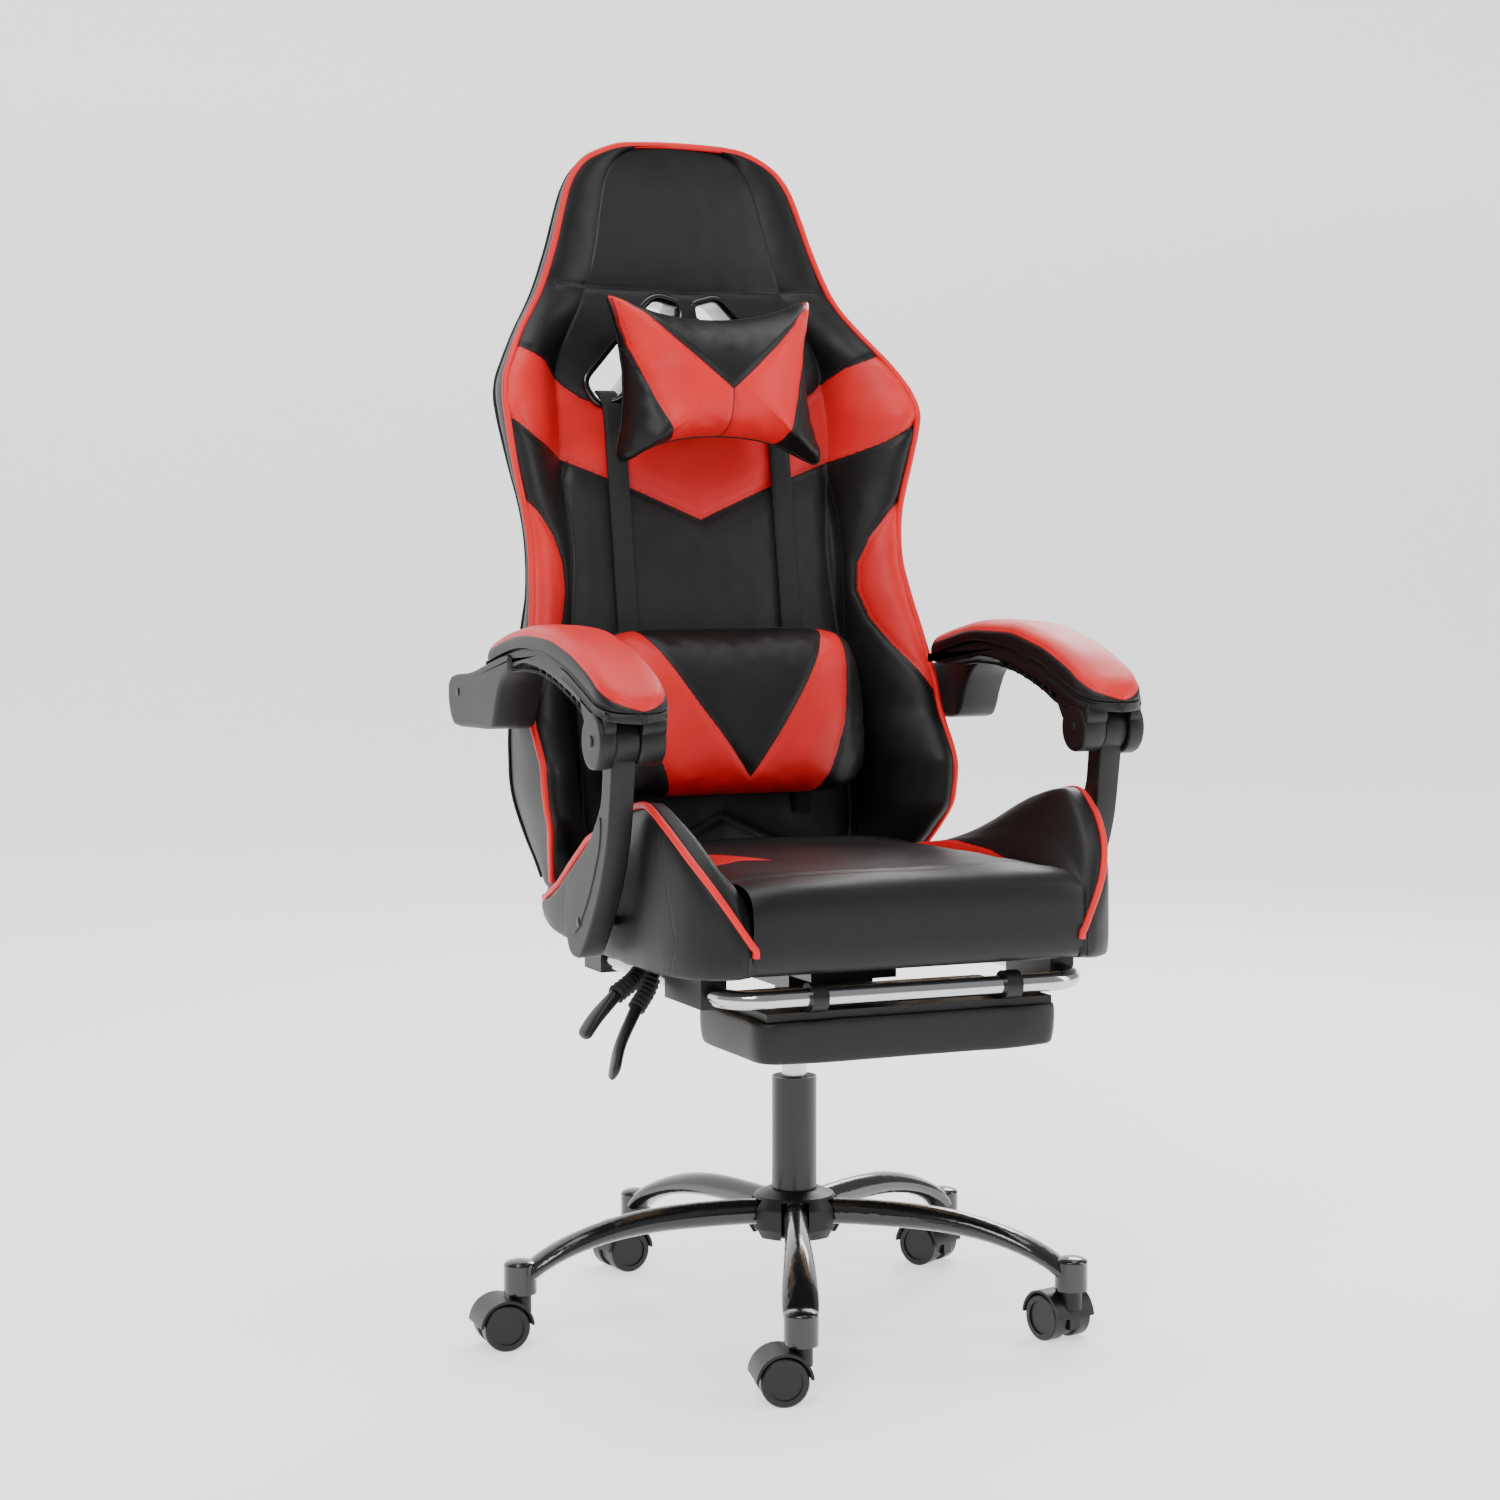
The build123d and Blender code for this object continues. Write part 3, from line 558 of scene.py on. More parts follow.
def build_bezels():
    loop = round_loop([(87, 1035), (121, 1026), (141, 1058), (43, 1166), (5, 1155), (5, 1137)], 120, 0.42)
    away = np.roll(loop, -1, 0) - np.roll(loop, 1, 0)
    away = np.stack([away[:, 1], -away[:, 0]], 1) / np.linalg.norm(away, axis=1)[:, None]
    profile = [(2.5, 4), (3.0, -4), (0.5, -7), (-3, -7), (-6.5, -3), (-7.5, 8), (-7.5, 50), (-5, 60), (1, 62),
               (3, 58), (2.5, 50)]
    for name, sign in (("left", 1), ("right", -1)):
        verts = []
        for out, deep in profile:
            ring = loop + away * out
            verts += [(sign * x, lean_y(z) + deep, z) for x, z in ring]
        faces = grid(len(profile), len(loop))
        last = (len(profile) - 1) * len(loop)
        n = len(loop)
        faces += [(last + k, last + (k + 1) % n, (k + 1) % n, k) for k in range(n)]
        build("bezel_" + name, verts, faces, "gloss", "back", ["strap_bezels"], "gloss_bezel")


def strap(name, path, width, body, thick=2.4):
    """Flat webbing along a path, wide across x."""
    p = spline(path, 90)
    ahead = np.gradient(p, axis=0)
    ahead /= np.linalg.norm(ahead, axis=1)[:, None]
    out = np.cross(ahead, (1.0, 0, 0))
    verts = []
    for i in range(len(p)):
        for a, b in ((-0.5, 0), (-0.46, 1), (-0.25, 1.12), (0.25, 1.12), (0.46, 1), (0.5, 0), (0.3, -0.6),
                     (-0.3, -0.6)):
            verts.append(p[i] + np.array((a * width, 0, 0)) + out[i] * b * thick)
    return build(name, verts, capped(len(p), 8), "webbing", body, ["lumbar_straps"], "webbing")


def build_straps():
    for name, x in (("left", 104), ("right", -104)):
        path = [(x, lean_y(1048) + 16, 1046), (x, lean_y(1036) + 2, 1038), (x, lean_y(1020) - 8, 1022)]
        path += [(x, lean_y(z) - 10.5, z) for z in (980, 900, 820, 760, 680, 600)]
        path += [(x * 0.98, lean_y(560) - 8, 560), (x * 0.95, lean_y(520) + 4, 520)]
        strap("strap_" + name, path, look().strap_width / MM, "back")


# ---------------- pillows ----------------

def cushion_mesh(outline, rings, front, rear, power):
    """Stuffed shape from an outline of (x, z): rings from the rear middle, over the seam, to the front."""
    line = np.array(outline)
    centre = line.mean(0)
    verts = []
    for side in (-1, 1):
        levels = np.linspace(0.02, 1, rings) if side < 0 else np.linspace(1, 0.02, rings)[1:]
        for k in levels:
            s = math.sin(k * math.pi / 2)
            spread = centre + (line - centre) * s
            swell = max(0.0, 1 - s ** power) ** 0.5
            out = side * swell * (front if side > 0 else rear)
            verts += [(x, out, z) for x, z in spread]
    return np.array(verts), 2 * rings - 1


def build_pillow(name, outline, seam_out, front, rear, body, red, seams, lump, power=3.0, shape=None):
    """outline and zones are in (x, z); distances along the lean are kept small by leaning the whole."""
    line = spline(outline, 240, True)
    verts, rows = cushion_mesh(line, 46, front, rear, power)
    flat = verts[:, [0, 2]]
    d = -area_distance(flat, line)
    out = verts[:, 1].copy()
    if shape:
        out = shape(flat, out)
    tuck = np.exp(-d / 16) * ripple(np.stack([verts[:, 0], 0 * out, verts[:, 2]], 1), 26, 11) * 3.2
    out += np.where(out > 0, 1, -0.5) * (tuck + ripple(verts, 80, 7) * lump)
    mirrored = np.stack([np.abs(flat[:, 0]), flat[:, 1]], 1)
    on_front = out > -2
    red_d = area_distance(mirrored, red)
    seam = np.minimum.reduce([line_distance(mirrored, s) for s in seams])
    seam = np.where(on_front, seam, 20)
    out -= np.where(on_front, 2.6 * np.exp(-(seam / 4.0) ** 2), 0)
    y = lean_y(verts[:, 2]) - seam_out - out
    placed = np.stack([verts[:, 0], y, verts[:, 2]], 1)
    obj = build(name, placed, capped(rows, len(line)), "leather", body, [name.replace("_cover", "")],
                "pillow_leather")
    mark(obj, red=np.where(on_front, red_d, 20), gray=np.full(len(seam), 30.0), seam=seam)
    edge = np.stack([line[:, 0] * 1.004, lean_y(line[:, 1]) - seam_out, line[:, 1]], 1)
    tube(name.replace("_cover", "_seam"), edge, 1.5, "plain", body, sides=8, closed=True,
         slot="pillow_leather")


def build_head_pillow():
    half = [(0, 1128), (45, 1131), (88, 1141), (118, 1153), (127, 1154), (126, 1143), (117, 1105),
            (113, 1060),
            (118, 1010), (127, 974), (125, 963), (116, 963), (90, 977), (50, 989), (0, 993)]
    outline = half + [(-x, z) for x, z in reversed(half[1:-1])]
    red = [(0, 1046), (60, 1098), (124, 1158), (128, 1158), (112, 1096), (92, 1040), (74, 1000), (64, 970),
           (0, 970)]
    seams = [[(0, 1046), (60, 1098), (124, 1156)],
             [(126, 1156), (112, 1096), (92, 1040), (74, 1000), (64, 970)],
             [(0, 1046), (0, 980)]]

    def shape(flat, out):
        arch = 1 - 0.10 * np.clip((np.abs(flat[:, 0]) - 60) / 60, 0, 1)
        return out * arch
    build_pillow("head_pillow_cover", outline, 72, 62, 56, "head_pillow", red, seams, 2.0, 2.6, shape)


def build_lumbar_pillow():
    half = [(0, 768), (80, 768), (128, 765), (152, 752), (164, 722), (167, 672), (164, 624), (152, 594),
            (128, 581),
            (80, 578), (0, 578)]
    outline = half + [(-x, z) for x, z in reversed(half[1:-1])]
    red = [(0, 601), (60, 684), (116, 770), (139, 770), (136, 722), (124, 660), (104, 610), (90, 574),
           (0, 574)]
    seams = [[(0, 601), (60, 684), (116, 770)], [(139, 770), (136, 722), (124, 660), (104, 610), (90, 574)]]
    build_pillow("lumbar_pillow_cover", outline, 52, 62, 40, "lumbar_pillow", red, seams, 1.6, 3.4)


# ---------------- seat ----------------

def build_cushion():
    """Seat pad: a side profile round under, front, top and rear, repeated across the width."""
    side = [(-150, 436), (-290, 437), (-312, 440), (-319, 452), (-320, 480), (-319, 505), (-313, 519),
            (-300, 527), (-276, 531), (-230, 531), (-150, 529), (-50, 528), (60, 526),
            (130, 525), (172, 520), (186, 506),
            (190, 480), (186, 456), (150, 448)]
    line = spline(side, 230)
    cols = 150
    x = np.linspace(-1, 1, cols)
    verts = np.zeros((len(line), cols, 3))
    reach = np.where(line[:, 0] > 120, 1 - 0.12 * np.clip((line[:, 0] - 120) / 30, 0, 1), 1.0)
    width = 186 * reach[:, None]
    soft = np.sign(x) * (1 - (1 - np.abs(x)) ** 1.5)
    verts[:, :, 0] = soft[None, :] * width
    verts[:, :, 1], verts[:, :, 2] = line[:, :1], line[:, 1:]
    top = np.clip((verts[:, :, 2] - 440) / 80, 0, 1)
    edge = 1 - np.abs(verts[:, :, 0]) / width
    verts[:, :, 2] += top * (7 * (1 - np.exp(-edge * 7)) - 4)
    front = np.clip((-290 - verts[:, :, 1]) / 20, 0, 1)
    verts[:, :, 1] -= front * 3 * (1 - np.exp(-edge * 9))
    v = verts.reshape(-1, 3)
    flat = v[:, :2]
    wedge = [(-190, 40), (-125, 14), (-69, -107), (-108, -92), (-150, -130), (-190, -190)]
    above = v[:, 2] > 500
    red = np.where(above, area_distance(flat, wedge), 20)
    cross = line_distance(flat, [(-182, -262), (-150, -268), (0, -272), (150, -268), (182, -262)])
    seam = np.where(above, np.minimum(np.abs(area_distance(flat, wedge)), 30), 30)
    v[:, 2] -= np.where(above, 1.6 * np.exp(-(seam / 4) ** 2) + 2.2 * np.exp(-(cross / 7) ** 2), 0)
    v[:, 2] += ripple(v, 120, 21) * 1.2 * top.reshape(-1)
    obj = build("seat_cushion_cover", v, grid(len(line), cols, False), "leather", "seat",
                ["seat_cushion"], "leather")
    # Painted highlight: the seat top's sheen is painted in with the lighter panel colour.
    sheen = area_distance(flat, [(-170, -250), (170, -250), (160, 180), (-160, 180)]) * 0.6 + 10
    mark(obj, red=red, gray=np.where(above, sheen, 30), seam=seam)


BOLSTER = [  # y, bottom, outer x, inner top z, crown inner x, crown z
    (-319, 440, 200, 470, 191, 474), (-312, 437, 212, 494, 194, 500), (-296, 435, 229, 512, 203, 530),
    (-270, 434, 243, 522, 213, 558), (-235, 434, 252, 528, 222, 584), (-191, 434, 256, 531, 228, 602),
    (-127, 434, 256, 530, 228, 590), (-33, 435, 256, 528, 225, 556), (73, 440, 255, 522, 222, 520),
    (128, 450, 250, 500, 218, 494), (152, 458, 240, 474, 212, 474)]


def build_bolsters():
    data = np.array(BOLSTER, float)
    ys = np.concatenate([np.linspace(-319, 152, 150)])
    cols = [smooth_curve(data[:, 0], data[:, k], ys) for k in range(1, 6)]
    loops, crest = [], []
    for y, bottom, outer, inner, crown, top in zip(ys, *cols):
        tall = top - bottom
        drop = 24 * float(np.clip((y + 20) / 90, 0, 1)) * min(1.0, tall / 60)
        loop = spline([(184, bottom + 4), (192, bottom), (outer - 8, bottom), (outer, bottom + 8),
                       (outer + 0.5, bottom + 0.45 * tall), (outer - 1, top - 0.12 * tall - 2 - drop),
                       (outer - 9, top - drop), (0.5 * (crown + outer - 9), top + 1.0 - 0.4 * drop),
                       (crown, top - 3), (0.5 * (crown + 184) + 2, 0.5 * (inner + top) - 1), (185, inner - 3),
                       (183, 0.5 * (bottom + inner))],
                      96, True)
        loops.append([(x, y, z) for x, z in loop])
        crest.append((outer - 5.5, y, top - 0.5 - drop))
    base = np.array(loops).reshape(-1, 3)
    base += ripple(base, 110, 31)[:, None] * np.array((0.9, 0, 0.5))
    ridge = np.array(crest)
    start = np.array([(184, -321, 458), (184.5, -321.5, 466), (189, -320, 472)])
    path = np.vstack([start, ridge[4:-2:5], [(238, 156, 470), (228, 162, 462)]])
    for name, sign in (("left", 1), ("right", -1)):
        v = base * (sign, 1, 1)
        obj = build("bolster_cover_" + name, v, capped(len(ys), 96), "leather", "seat",
                    ["seat_bolsters"], "leather")
        x, z = np.abs(v[:, 0]), v[:, 2]
        inner = x < 226
        flat = np.stack([v[:, 1], z], 1)
        leaf = area_distance(flat, [(-199, 519), (-110, 531), (-20, 533), (124, 523), (124, 512), (0, 512),
                                    (-199, 514)])
        outer_seam = line_distance(flat, [(-250, 430), (-262, 470), (-236, 560), (-232, 590)])
        seam = np.where(inner, np.abs(leaf), np.where(x > 246, outer_seam, 30.0))
        mark(obj, red=np.where(inner & (x > 183.5), leaf, 20), gray=np.full(len(x), 30.0), seam=seam)
        tube("bolster_piping_" + name, spline(path * (sign, 1, 1), 240), look().seat_piping / MM, "piping",
             "seat", slot="leather")


# ---------------- footrest ----------------

def build_footrest_pad():
    lo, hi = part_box("footrest_pad")
    x0, y0, z0, x1, y1, z1 = (float(v) * 1000 for v in (*lo, *hi))
    cx, cy, cz = (x0 + x1) / 2, (y0 + y1) / 2, (z0 + z1) / 2
    n = 120
    angle = np.linspace(0, 2 * math.pi, 4 * n, endpoint=False)
    ring = np.stack([np.sign(np.cos(angle)) * np.abs(np.cos(angle)) ** 0.16,
                     np.sign(np.sin(angle)) * np.abs(np.sin(angle)) ** 0.22], 1)
    verts = []
    levels = [(0.03, -1), (0.4, -1.05), (0.8, -1.04), (0.93, -1.0), (0.972, -0.93), (0.985, -0.8),
              (0.995, -0.4),
              (1.0, 0.1), (1.0, 0.6), (0.996, 0.85), (0.98, 0.97), (0.9, 1.0), (0.4, 1.0), (0.03, 1.0)]
    fine = spline(levels, 60)
    for s, h in fine:
        verts += [(cx + a * s * (x1 - x0) / 2, cy + b * s * (y1 - y0) / 2, cz + h * (z1 - z0) / 2)
                  for a, b in ring]
    v = np.array(verts)
    v += ripple(v, 60, 41)[:, None] * np.array((0.4, 0.4, 0.7))
    obj = build("footrest_pad_cover", v, capped(len(fine), len(ring)), "leather", "footrest_pad",
                ["footrest_pad"], "leather")
    corner = np.minimum(np.abs(np.abs(v[:, 0] - cx) - (x1 - x0) / 2 + 9), 30)
    on_side = (v[:, 1] < y0 + 4) & (v[:, 2] < z1 - 2)
    mark(obj, red=np.full(len(v), 20.0), gray=np.full(len(v), 30.0),
         seam=np.where(on_side, corner + 0.6, 30.0))


# ---------------- arms ----------------

ARM_Y = [-249, -240, -215, -175, -120, -45, 20, 87, 130, 149]
ARM_TOP = [705, 716, 731, 750, 767, 779, 780, 772, 763, 757]
ARM_LOW = [698, 699, 706, 720, 738, 752, 756, 747, 738, 733]


def arm_plan(y, half):
    """Half width along the arm: round nose, slightly drawn-in tail."""
    nose = np.clip((y + 249) / 44, 0, 1)
    tail = np.clip((150 - y) / 15, 0, 1)
    w = half * (1 - 0.06 * np.clip((y + 60) / 200, 0, 1))
    return w * np.sqrt(np.maximum(0.004, 1 - (1 - nose) ** 2)) * (0.6 + 0.4 * np.sqrt(1 - (1 - tail) ** 2))


def build_arms():
    ys = np.concatenate([-249 + 44 * np.linspace(0, 1, 40) ** 1.7, np.linspace(-202, 132, 105),
                         np.linspace(134, 149, 12)])
    t, b, w = smooth_curve(ARM_Y, ARM_TOP, ys), smooth_curve(ARM_Y, ARM_LOW, ys), arm_plan(ys, 38.0)
    for side, sign in (("left", 1), ("right", -1)):
        centre = sign * ARM_CENTRE
        verts = []
        for y, zt, zb, hw in zip(ys, t, b, w):
            cap = min(12.0, 0.55 * (zt - zb))
            r = min(4.0, 0.4 * hw)
            loop = spline([(-hw + r, zb), (hw - r, zb), (hw - 0.2 * r, zb + 3),
                           (hw, zb + 0.4 * (zt - cap - zb)), (hw - 0.2 * r, zt - cap - 1),
                           (hw - 1.2 * r, zt - 0.55 * cap), (0.72 * hw, zt - 0.2 * cap),
                           (0.35 * hw, zt + 0.6), (-0.35 * hw, zt + 0.6), (-0.72 * hw, zt - 0.2 * cap),
                           (-hw + 1.2 * r, zt - 0.55 * cap), (-hw + 0.2 * r, zt - cap - 1),
                           (-hw, zb + 0.4 * (zt - cap - zb)), (-hw + 0.2 * r, zb + 3)], 84, True)
            verts += [(centre + x, y, z) for x, z in loop]
        v = np.array(verts)
        ridge, foot = smooth_curve(ARM_Y, ARM_TOP, v[:, 1]), smooth_curve(ARM_Y, ARM_LOW, v[:, 1])
        lip = ridge - np.minimum(10.5, 0.5 * (ridge - foot))
        red = np.maximum(lip + 0.5 - v[:, 2], v[:, 1] - 138 + 0.12 * np.abs(v[:, 0] - centre))
        v += ripple(v, 70, 51)[:, None] * np.array((0.2, 0.1, 0.5))
        v[:, 2] -= 1.2 * np.exp(-(red / 2.0) ** 2)
        obj = build("arm_pad_cover_" + side, v, capped(len(ys), 84), "leather", "arm_" + side,
                    ["arm_pad_" + side], "arm_pad")
        mark(obj, red=red, gray=np.full(len(v), 30.0), seam=np.abs(red) + 0.3)
        build_arm_nose(side, centre)
        build_arm_frame(side, sign)


def build_arm_nose(side, centre):
    """Rounded plate of the moulded arm that carries the front of the pad."""
    ys = np.concatenate([-251 + 44 * np.linspace(0, 1, 30) ** 1.7, np.linspace(-203, -110, 30)])
    verts = []
    for y, low, hw in zip(ys, smooth_curve(ARM_Y, ARM_LOW, ys), arm_plan(ys + 1.5, 36.5)):
        r, deep = min(4.0, 0.4 * hw), 10 + 3 * min(1.0, (y + 251) / 60)
        loop = spline([(-hw + r, low - deep), (hw - r, low - deep), (hw, low - deep + r), (hw, low - 2.5),
                       (hw - 1.5, low - 0.6), (-hw + 1.5, low - 0.6), (-hw, low - 2.5),
                       (-hw, low - deep + r)], 56, True)
        verts += [(centre + x, y, z) for x, z in loop]
    build("arm_nose_" + side, verts, capped(len(ys), 56), "arm", "arm_" + side, slot="arm_plastic")


def build_arm_frame(side, sign):
    """Moulded arm under the pad: beam with ribbed window, front cheeks, rear bracket and the post."""
    body, slot = "arm_" + side, "arm_plastic"
    rim = [(-205, 708), (-160, 727), (-120, 739), (-45, 753), (20, 757), (87, 747), (148, 734),
           (149, 731), (124, 727), (92, 729), (60, 734), (20, 739), (-45, 733), (-110, 718), (-160, 703),
           (-205, 690)]
    c = ARM_CENTRE

    def piece(name, outline, x0, x1, edge=2.5, count=160, owner=body, replaced=None):
        a, b = sorted((sign * x0, sign * x1))
        return plate(name + "_" + side, outline, a, b, "arm", owner, edge, count, slot=slot,
                     replaces=[replaced + "_" + side] if replaced else ())
    piece("arm_beam", rim, c - 34, c + 34, 3.0, 200, replaced="arm_shell")
    edge_y, edge_z = [-190, -161, -131, -60, -20, 20, 60], [688, 694, 706, 725, 730, 731, 728]
    line = np.linspace(60, -190, 24)
    low = smooth_curve(edge_y, edge_z, line)
    under = list(zip(line, low + 2.6)) + list(zip(line[::-1], low[::-1]))
    piece("arm_rail_out", under, c + 24, c + 33.5, 0.8, 260)
    piece("arm_rail_in", under, c - 33.5, c - 24, 0.8, 260)
    for i in range(8):
        y = -164 + i * 19.0
        z = float(smooth_curve(edge_y, edge_z, np.array(y)))
        lean = 6 if i % 2 else -4
        rib = [(y - 1.6, z + 0.5), (y + 1.6, z + 0.5), (y + 1.6 + lean, z + 16), (y - 1.6 + lean, z + 16)]
        piece("arm_rib_%d" % i, rib, c - 32.5, c + 32.5, 0.6, 40)
    rear = [(62, 746), (92, 744), (148, 733), (200, 723), (258, 718), (274, 712), (279, 702), (277, 684),
            (266, 666), (246, 660), (180, 661), (128, 663), (112, 672), (100, 696), (86, 716), (62, 732)]
    piece("arm_bracket", rear, 262, 312, 3.5, 220)
    ky, kz = KNUCKLE
    angle = np.linspace(0, 2 * math.pi, 48, endpoint=False)

    def disc(name, x0, x1, r, edge=2.5):
        ring = [(ky + r * math.cos(a), kz + r * math.sin(a)) for a in angle]
        piece(name, ring, x0, x1, edge, 72)
    disc("arm_cheek_out", 294.6, 312.5, 29)
    disc("arm_cheek_in", 240, 267.4, 26)
    disc("arm_dimple", 311.5, 314.2, 6, edge=1.2)
    disc("arm_dimple_in", 238.4, 241, 6, edge=1.2)
    neck = [(-226, 676), (-229, 690), (-224, 700), (-160, 712), (-158, 700), (-166, 688), (-176, 676),
            (-200, 660)]
    piece("arm_neck_out", neck, 294.8, 308, 2.0)
    piece("arm_neck_in", neck, 241, 267.2, 2.0)
    post = [(-186, 658), (-181, 628), (-174, 600), (-142, 564), (-102, 538), (-76, 516), (-68, 492),
            (-70, 462), (-80, 443), (-97, 437), (-116, 442), (-144, 472), (-168, 505), (-184, 534),
            (-198, 570), (-206, 610), (-211, 658)]
    piece("arm_post_cover", post, 268, 294, 2.2, 200, "post_" + side, "arm_post")
    ring = [(ky + 24 * math.cos(a), kz + 24 * math.sin(a)) for a in angle]
    piece("arm_knuckle", ring, 268.2, 293.8, 1.5, 96, "post_" + side)
    face = [(-176, 590), (-146, 556), (-108, 530), (-86, 508), (-84, 480), (-96, 462), (-112, 470),
            (-140, 500), (-160, 530), (-176, 562)]
    piece("arm_post_face", face, 293.4, 295.0, 1.0, 120, "post_" + side)


# ---------------- base, casters, levers and other hard parts ----------------

PAINTED = {
    "gloss": (("base_legs", 0), ("base_hub", 0)), "matte": (("hub_cover", 2.0), ("footrest_guides", 2.5),
                                                           ("footrest_clips", 1.2), ("footrest_board", 0.6)),
    "steel": (("column_tube", 1.0), ("mechanism", 1.5), ("seat_frame", 0), ("recline_brackets", 0.8),
              ("back_frame", 0)),
    "bright": (("lift_tube", 0), ("piston_rod", 0)),
    "chrome": (("footrest_frame", 0),), "wood": (("seat_board", 0),), "rubber": (("guide_bush", 0),),
}


def finish_node(name, material, width):
    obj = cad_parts[name]
    obj.data.materials.clear()
    obj.data.materials.append(materials[material])
    for polygon in obj.data.polygons:
        polygon.use_smooth = True
    if width:
        bevel(obj, width)
    else:
        modifier(obj, "WEIGHTED_NORMAL", keep_sharp=False)
    return obj


def build_hard_parts():
    for material, nodes in PAINTED.items():
        for name, width in nodes:
            finish_node(name, material, width)
    for side in ("left", "right"):
        finish_node("arm_pin_" + side, "steel", 0.6)
    for lever in ("lift_lever", "recline_lever"):
        finish_node(lever + "_rod", "steel", 0)


def sweep(name, path, across, flat, material, body, sides=20, **more):
    """Round-edged bar along a path; across and flat are its half sizes at every point."""
    p = np.array(path, float)
    ahead = np.gradient(p, axis=0)
    ahead /= np.linalg.norm(ahead, axis=1)[:, None]
    verts = []
    for q, d, a, f in zip(p, ahead, across, flat):
        wide = np.cross(d, (1.0, 0.0, 0.0))
        wide /= np.linalg.norm(wide)
        thick = np.cross(d, wide)
        for k in range(sides):
            c, t = math.cos(2 * math.pi * k / sides), math.sin(2 * math.pi * k / sides)
            c, t = math.copysign(abs(c) ** 0.7, c), math.copysign(abs(t) ** 0.7, t)
            verts.append(q + wide * c * a + thick * t * f)
    return build(name, verts, capped(len(p), sides), material, body, **more)


def build_bolts():
    """Plain bolts, flush with the posts and arms."""
    for name, (y, z), x0, x1, radius, body, node in (
            ("post_bolt", POST_PIVOT, 217, 295.4, 5.8, "seat", "arm_bolts"),
            ("rear_bolt", REAR_BOLT, 209, 312.8, 5.3, "back", "arm_rear_bolts")):
        for side, sign in (("left", 1), ("right", -1)):
            tube(name + "_" + side, [(sign * x0, y, z), (sign * x1, y, z)], radius, "matte", body, 32,
                 replaces=[node], slot="black_steel")


def build_levers():
    """Bellows over the rods' bends and curved paddles."""
    for name, y, knee, tip, bow in (("lift_lever", -106, (-262, -136, 402), (-299, -134, 358), -4),
                                    ("recline_lever", -138, (-248, -158, 390), (-289, -198, 326), -5)):
        bend = (-221 + 0.4 * (221 + knee[0]), y + 0.5 * (knee[1] - y), 0.5 * (424 + knee[2]))
        path = spline([(-221, y, 424.5), bend, knee], 140)
        wave = 7.6 + 2.0 * np.cos(np.linspace(0, 2 * math.pi * 8, 140))
        wave = wave * np.clip(0.58 + 1.6 * np.linspace(0, 1, 140), 0, 1)
        sweep(name + "_bellows", path, wave, wave, "rubber", name, 24, replaces=[name + "_boot"],
              slot="rubber")
        a, b = np.array(knee, float), np.array(tip, float)
        mid = (a + b) / 2 + np.array((bow, 0, bow * 0.4))
        path = spline([a, mid, b], 70)
        t = np.linspace(0, 1, 70)
        end = np.sqrt(np.maximum(0.02, 1 - np.clip((t - 0.88) / 0.12, 0, 1) ** 2))
        across = smooth_curve([0, 0.15, 0.5, 0.85, 1], [6.5, 8.5, 12.0, 13.5, 13], t) * end
        thick = smooth_curve([0, 0.3, 1], [6.5, 6.0, 4.6], t) * end
        sweep(name + "_handle", path, across, thick, "matte", name, replaces=[name + "_paddle"],
              slot="matte_black")


def build_casters():
    for k in range(1, 6):
        finish_node("caster_hood_%d" % k, "matte", 1.2)
        finish_node("caster_pins_%d" % k, "bright", 0.5)
        for side in ("left", "right"):
            finish_node("caster_wheel_%d_%s" % (k, side), "wheel", 0)


# ---------------- stage ----------------

def flat_light(name, place, target, size, energy, shape=(1, 1)):
    light = bpy.data.lights.new(name, "AREA")
    light.shape, light.energy = "RECTANGLE", energy
    light.size, light.size_y = size * shape[0], size * shape[1]
    obj = bpy.data.objects.new(name, light)
    obj.location = place
    obj.rotation_euler = (Vector(target) - Vector(place)).to_track_quat("-Z", "Y").to_euler()
    bpy.context.scene.collection.objects.link(obj)
    return obj


def build_stage():
    paint = Paint("floor_white", (0.92, 0.92, 0.92), 0.9, Emission_Color=(1, 1, 1, 1),
                  Emission_Strength=look().floor_glow)
    sweep_up = np.linspace(0, math.pi / 2, 24)
    line = [(-9, 0)] + [(5 + 2.5 * math.sin(a), 2.5 - 2.5 * math.cos(a)) for a in sweep_up]
    line.append((7.5, 12))
    verts = [(x, y, z) for y, z in line for x in (-14, 14)]
    mesh = bpy.data.meshes.new("floor")
    mesh.from_pydata(verts, [], grid(len(line), 2, False))
    mesh.materials.append(paint.material)
    floor = bpy.data.objects.new("floor", mesh)
    for polygon in mesh.polygons:
        polygon.use_smooth = True
    bpy.context.scene.collection.objects.link(floor)
    world = bpy.data.worlds.new("studio")
    bpy.context.scene.world = world
    world.use_nodes = True
    world.node_tree.nodes["Background"].inputs[0].default_value = (1, 1, 1, 1)
    world.node_tree.nodes["Background"].inputs[1].default_value = 0.42
    aim = (0, 0, 0.7)
    flat_light("key", (-2.2, -2.6, 3.6), aim, 1.8, 100)
    flat_light("fill", (3.2, -1.8, 1.8), aim, 1.8, 50, (0.6, 1.6))
    flat_light("top", (0.2, 0.2, 4.0), aim, 2.8, 75)
    flat_light("rim", (2.2, 2.4, 2.6), aim, 1.2, 60)
    camera = bpy.data.cameras.new("camera")
    obj = bpy.data.objects.new("camera", camera)
    bpy.context.scene.collection.objects.link(obj)
    az, el, far = math.radians(-24.0), math.radians(3.25), 3.281
    back = Vector((math.sin(az) * math.cos(el), -math.cos(az) * math.cos(el), math.sin(el)))
    obj.location = Vector((0, 0, 0.6784)) + back * far
    obj.rotation_euler = (-back).to_track_quat("-Z", "Y").to_euler()
    camera.sensor_width, camera.lens = 36.0, 2964.0 / 1500 * 36.0
    camera.shift_x, camera.shift_y = -0.0295, -0.0236
    bpy.context.scene.camera = obj


# ---------------- add-on ----------------

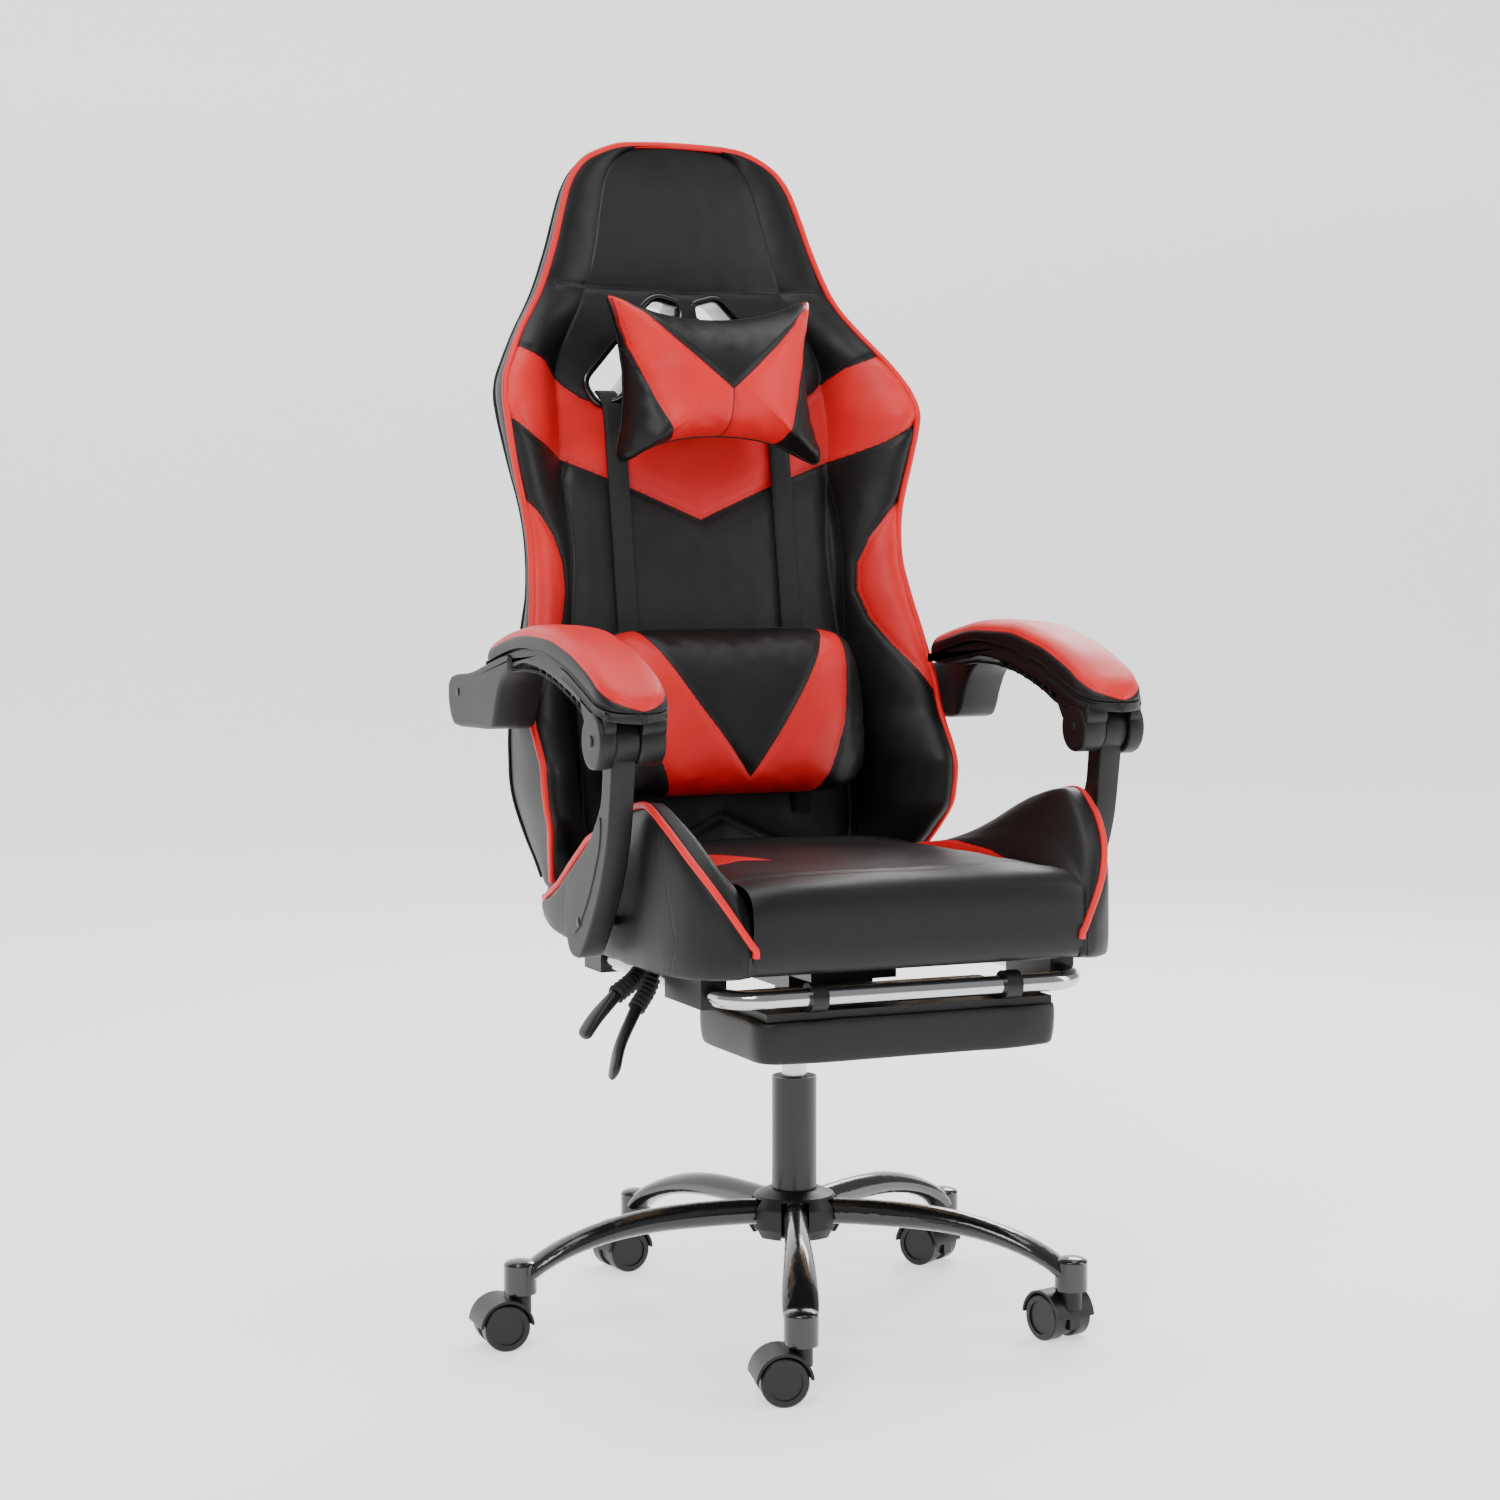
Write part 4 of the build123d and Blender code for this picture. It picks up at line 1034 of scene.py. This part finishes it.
class ChairSettings(bpy.types.PropertyGroup):
    """Colours and sizes a user of the chair would change."""
    leather_color: bpy.props.FloatVectorProperty(
        name="Leather", description="Colour of the black leather", subtype="COLOR", size=3, min=0.0, max=1.0,
        default=(0.004, 0.004, 0.0043))
    # This colour also paints a highlight, the lighter sheen on the seat top, besides the back's lighter
    # panels.
    panel_and_sheen_color: bpy.props.FloatVectorProperty(
        name="Middle panel", description="Colour of the back's lighter panels", subtype="COLOR", size=3,
        min=0.0, max=1.0, default=(0.013, 0.0125, 0.0132))
    trim_color: bpy.props.FloatVectorProperty(
        name="Trim", description="Colour of the trim panels and the piping", subtype="COLOR", size=3,
        min=0.0, max=1.0, default=(0.74, 0.011, 0.014))
    back_piping: bpy.props.FloatProperty(
        name="Back piping", description="Radius of the piping round the back", default=0.0039, min=0.001,
        unit="LENGTH")
    seat_piping: bpy.props.FloatProperty(
        name="Seat piping", description="Radius of the piping on the seat's bolsters", default=0.0038,
        min=0.001, unit="LENGTH")
    strap_width: bpy.props.FloatProperty(
        name="Strap width", description="Width of the webbing straps", default=0.027, min=0.005,
        unit="LENGTH")
    floor_glow: bpy.props.FloatProperty(
        name="Floor glow", description="Light given off by the studio floor", default=0.95, min=0.0)


def operator(name, label, text, work):
    """An operator that builds one piece or a group of like pieces."""
    def execute(self, context):
        work()
        return {"FINISHED"}
    return type("CHAIR_OT_" + name, (bpy.types.Operator,),
                {"bl_idname": "chair." + name, "bl_label": label, "__doc__": text, "execute": execute})


OPERATORS = [
    operator("materials", "Materials", "Make every material", make_materials),
    operator("hard_parts", "Hard parts", "Finish the base, lift, frame and lever parts", build_hard_parts),
    operator("bolts", "Bolts", "Build the arms' bolts", build_bolts),
    operator("levers", "Levers", "Build both levers' bellows and paddles", build_levers),
    operator("casters", "Casters", "Finish the casters", build_casters),
    operator("back", "Back", "Build the padded back and its piping", build_back),
    operator("bezels", "Bezels", "Build the strap slots' rings", build_bezels),
    operator("straps", "Straps", "Build the webbing straps", build_straps),
    operator("head_pillow", "Head pillow", "Build the head pillow", build_head_pillow),
    operator("lumbar_pillow", "Lumbar pillow", "Build the lumbar pillow", build_lumbar_pillow),
    operator("cushion", "Seat cushion", "Build the seat cushion", build_cushion),
    operator("bolsters", "Seat bolsters", "Build the seat's side bolsters", build_bolsters),
    operator("footrest_pad", "Footrest pad", "Build the footrest's pad", build_footrest_pad),
    operator("arms", "Arms", "Build both arms and their posts", build_arms),
    operator("stage", "Stage", "Build floor, lights and camera", build_stage),
]


class CHAIR_PT_panel(bpy.types.Panel):
    """Settings and builders of the chair."""
    bl_label = "Chair"
    bl_idname = "CHAIR_PT_panel"
    bl_space_type = "VIEW_3D"
    bl_region_type = "UI"
    bl_category = "Chair"

    def draw(self, context):
        for name in ChairSettings.__annotations__:
            self.layout.prop(look(), name)
        for kind in OPERATORS:
            self.layout.operator(kind.bl_idname)


CLASSES = [ChairSettings] + OPERATORS + [CHAIR_PT_panel]


def register():
    for kind in CLASSES:
        bpy.utils.register_class(kind)
    bpy.types.Scene.chair = bpy.props.PointerProperty(type=ChairSettings)


def unregister():
    del bpy.types.Scene.chair
    for kind in reversed(CLASSES):
        bpy.utils.unregister_class(kind)


def main():
    register()
    for kind in OPERATORS:
        group, name = kind.bl_idname.split(".")
        getattr(getattr(bpy.ops, group), name)()


if __name__ == "__main__":
    main()
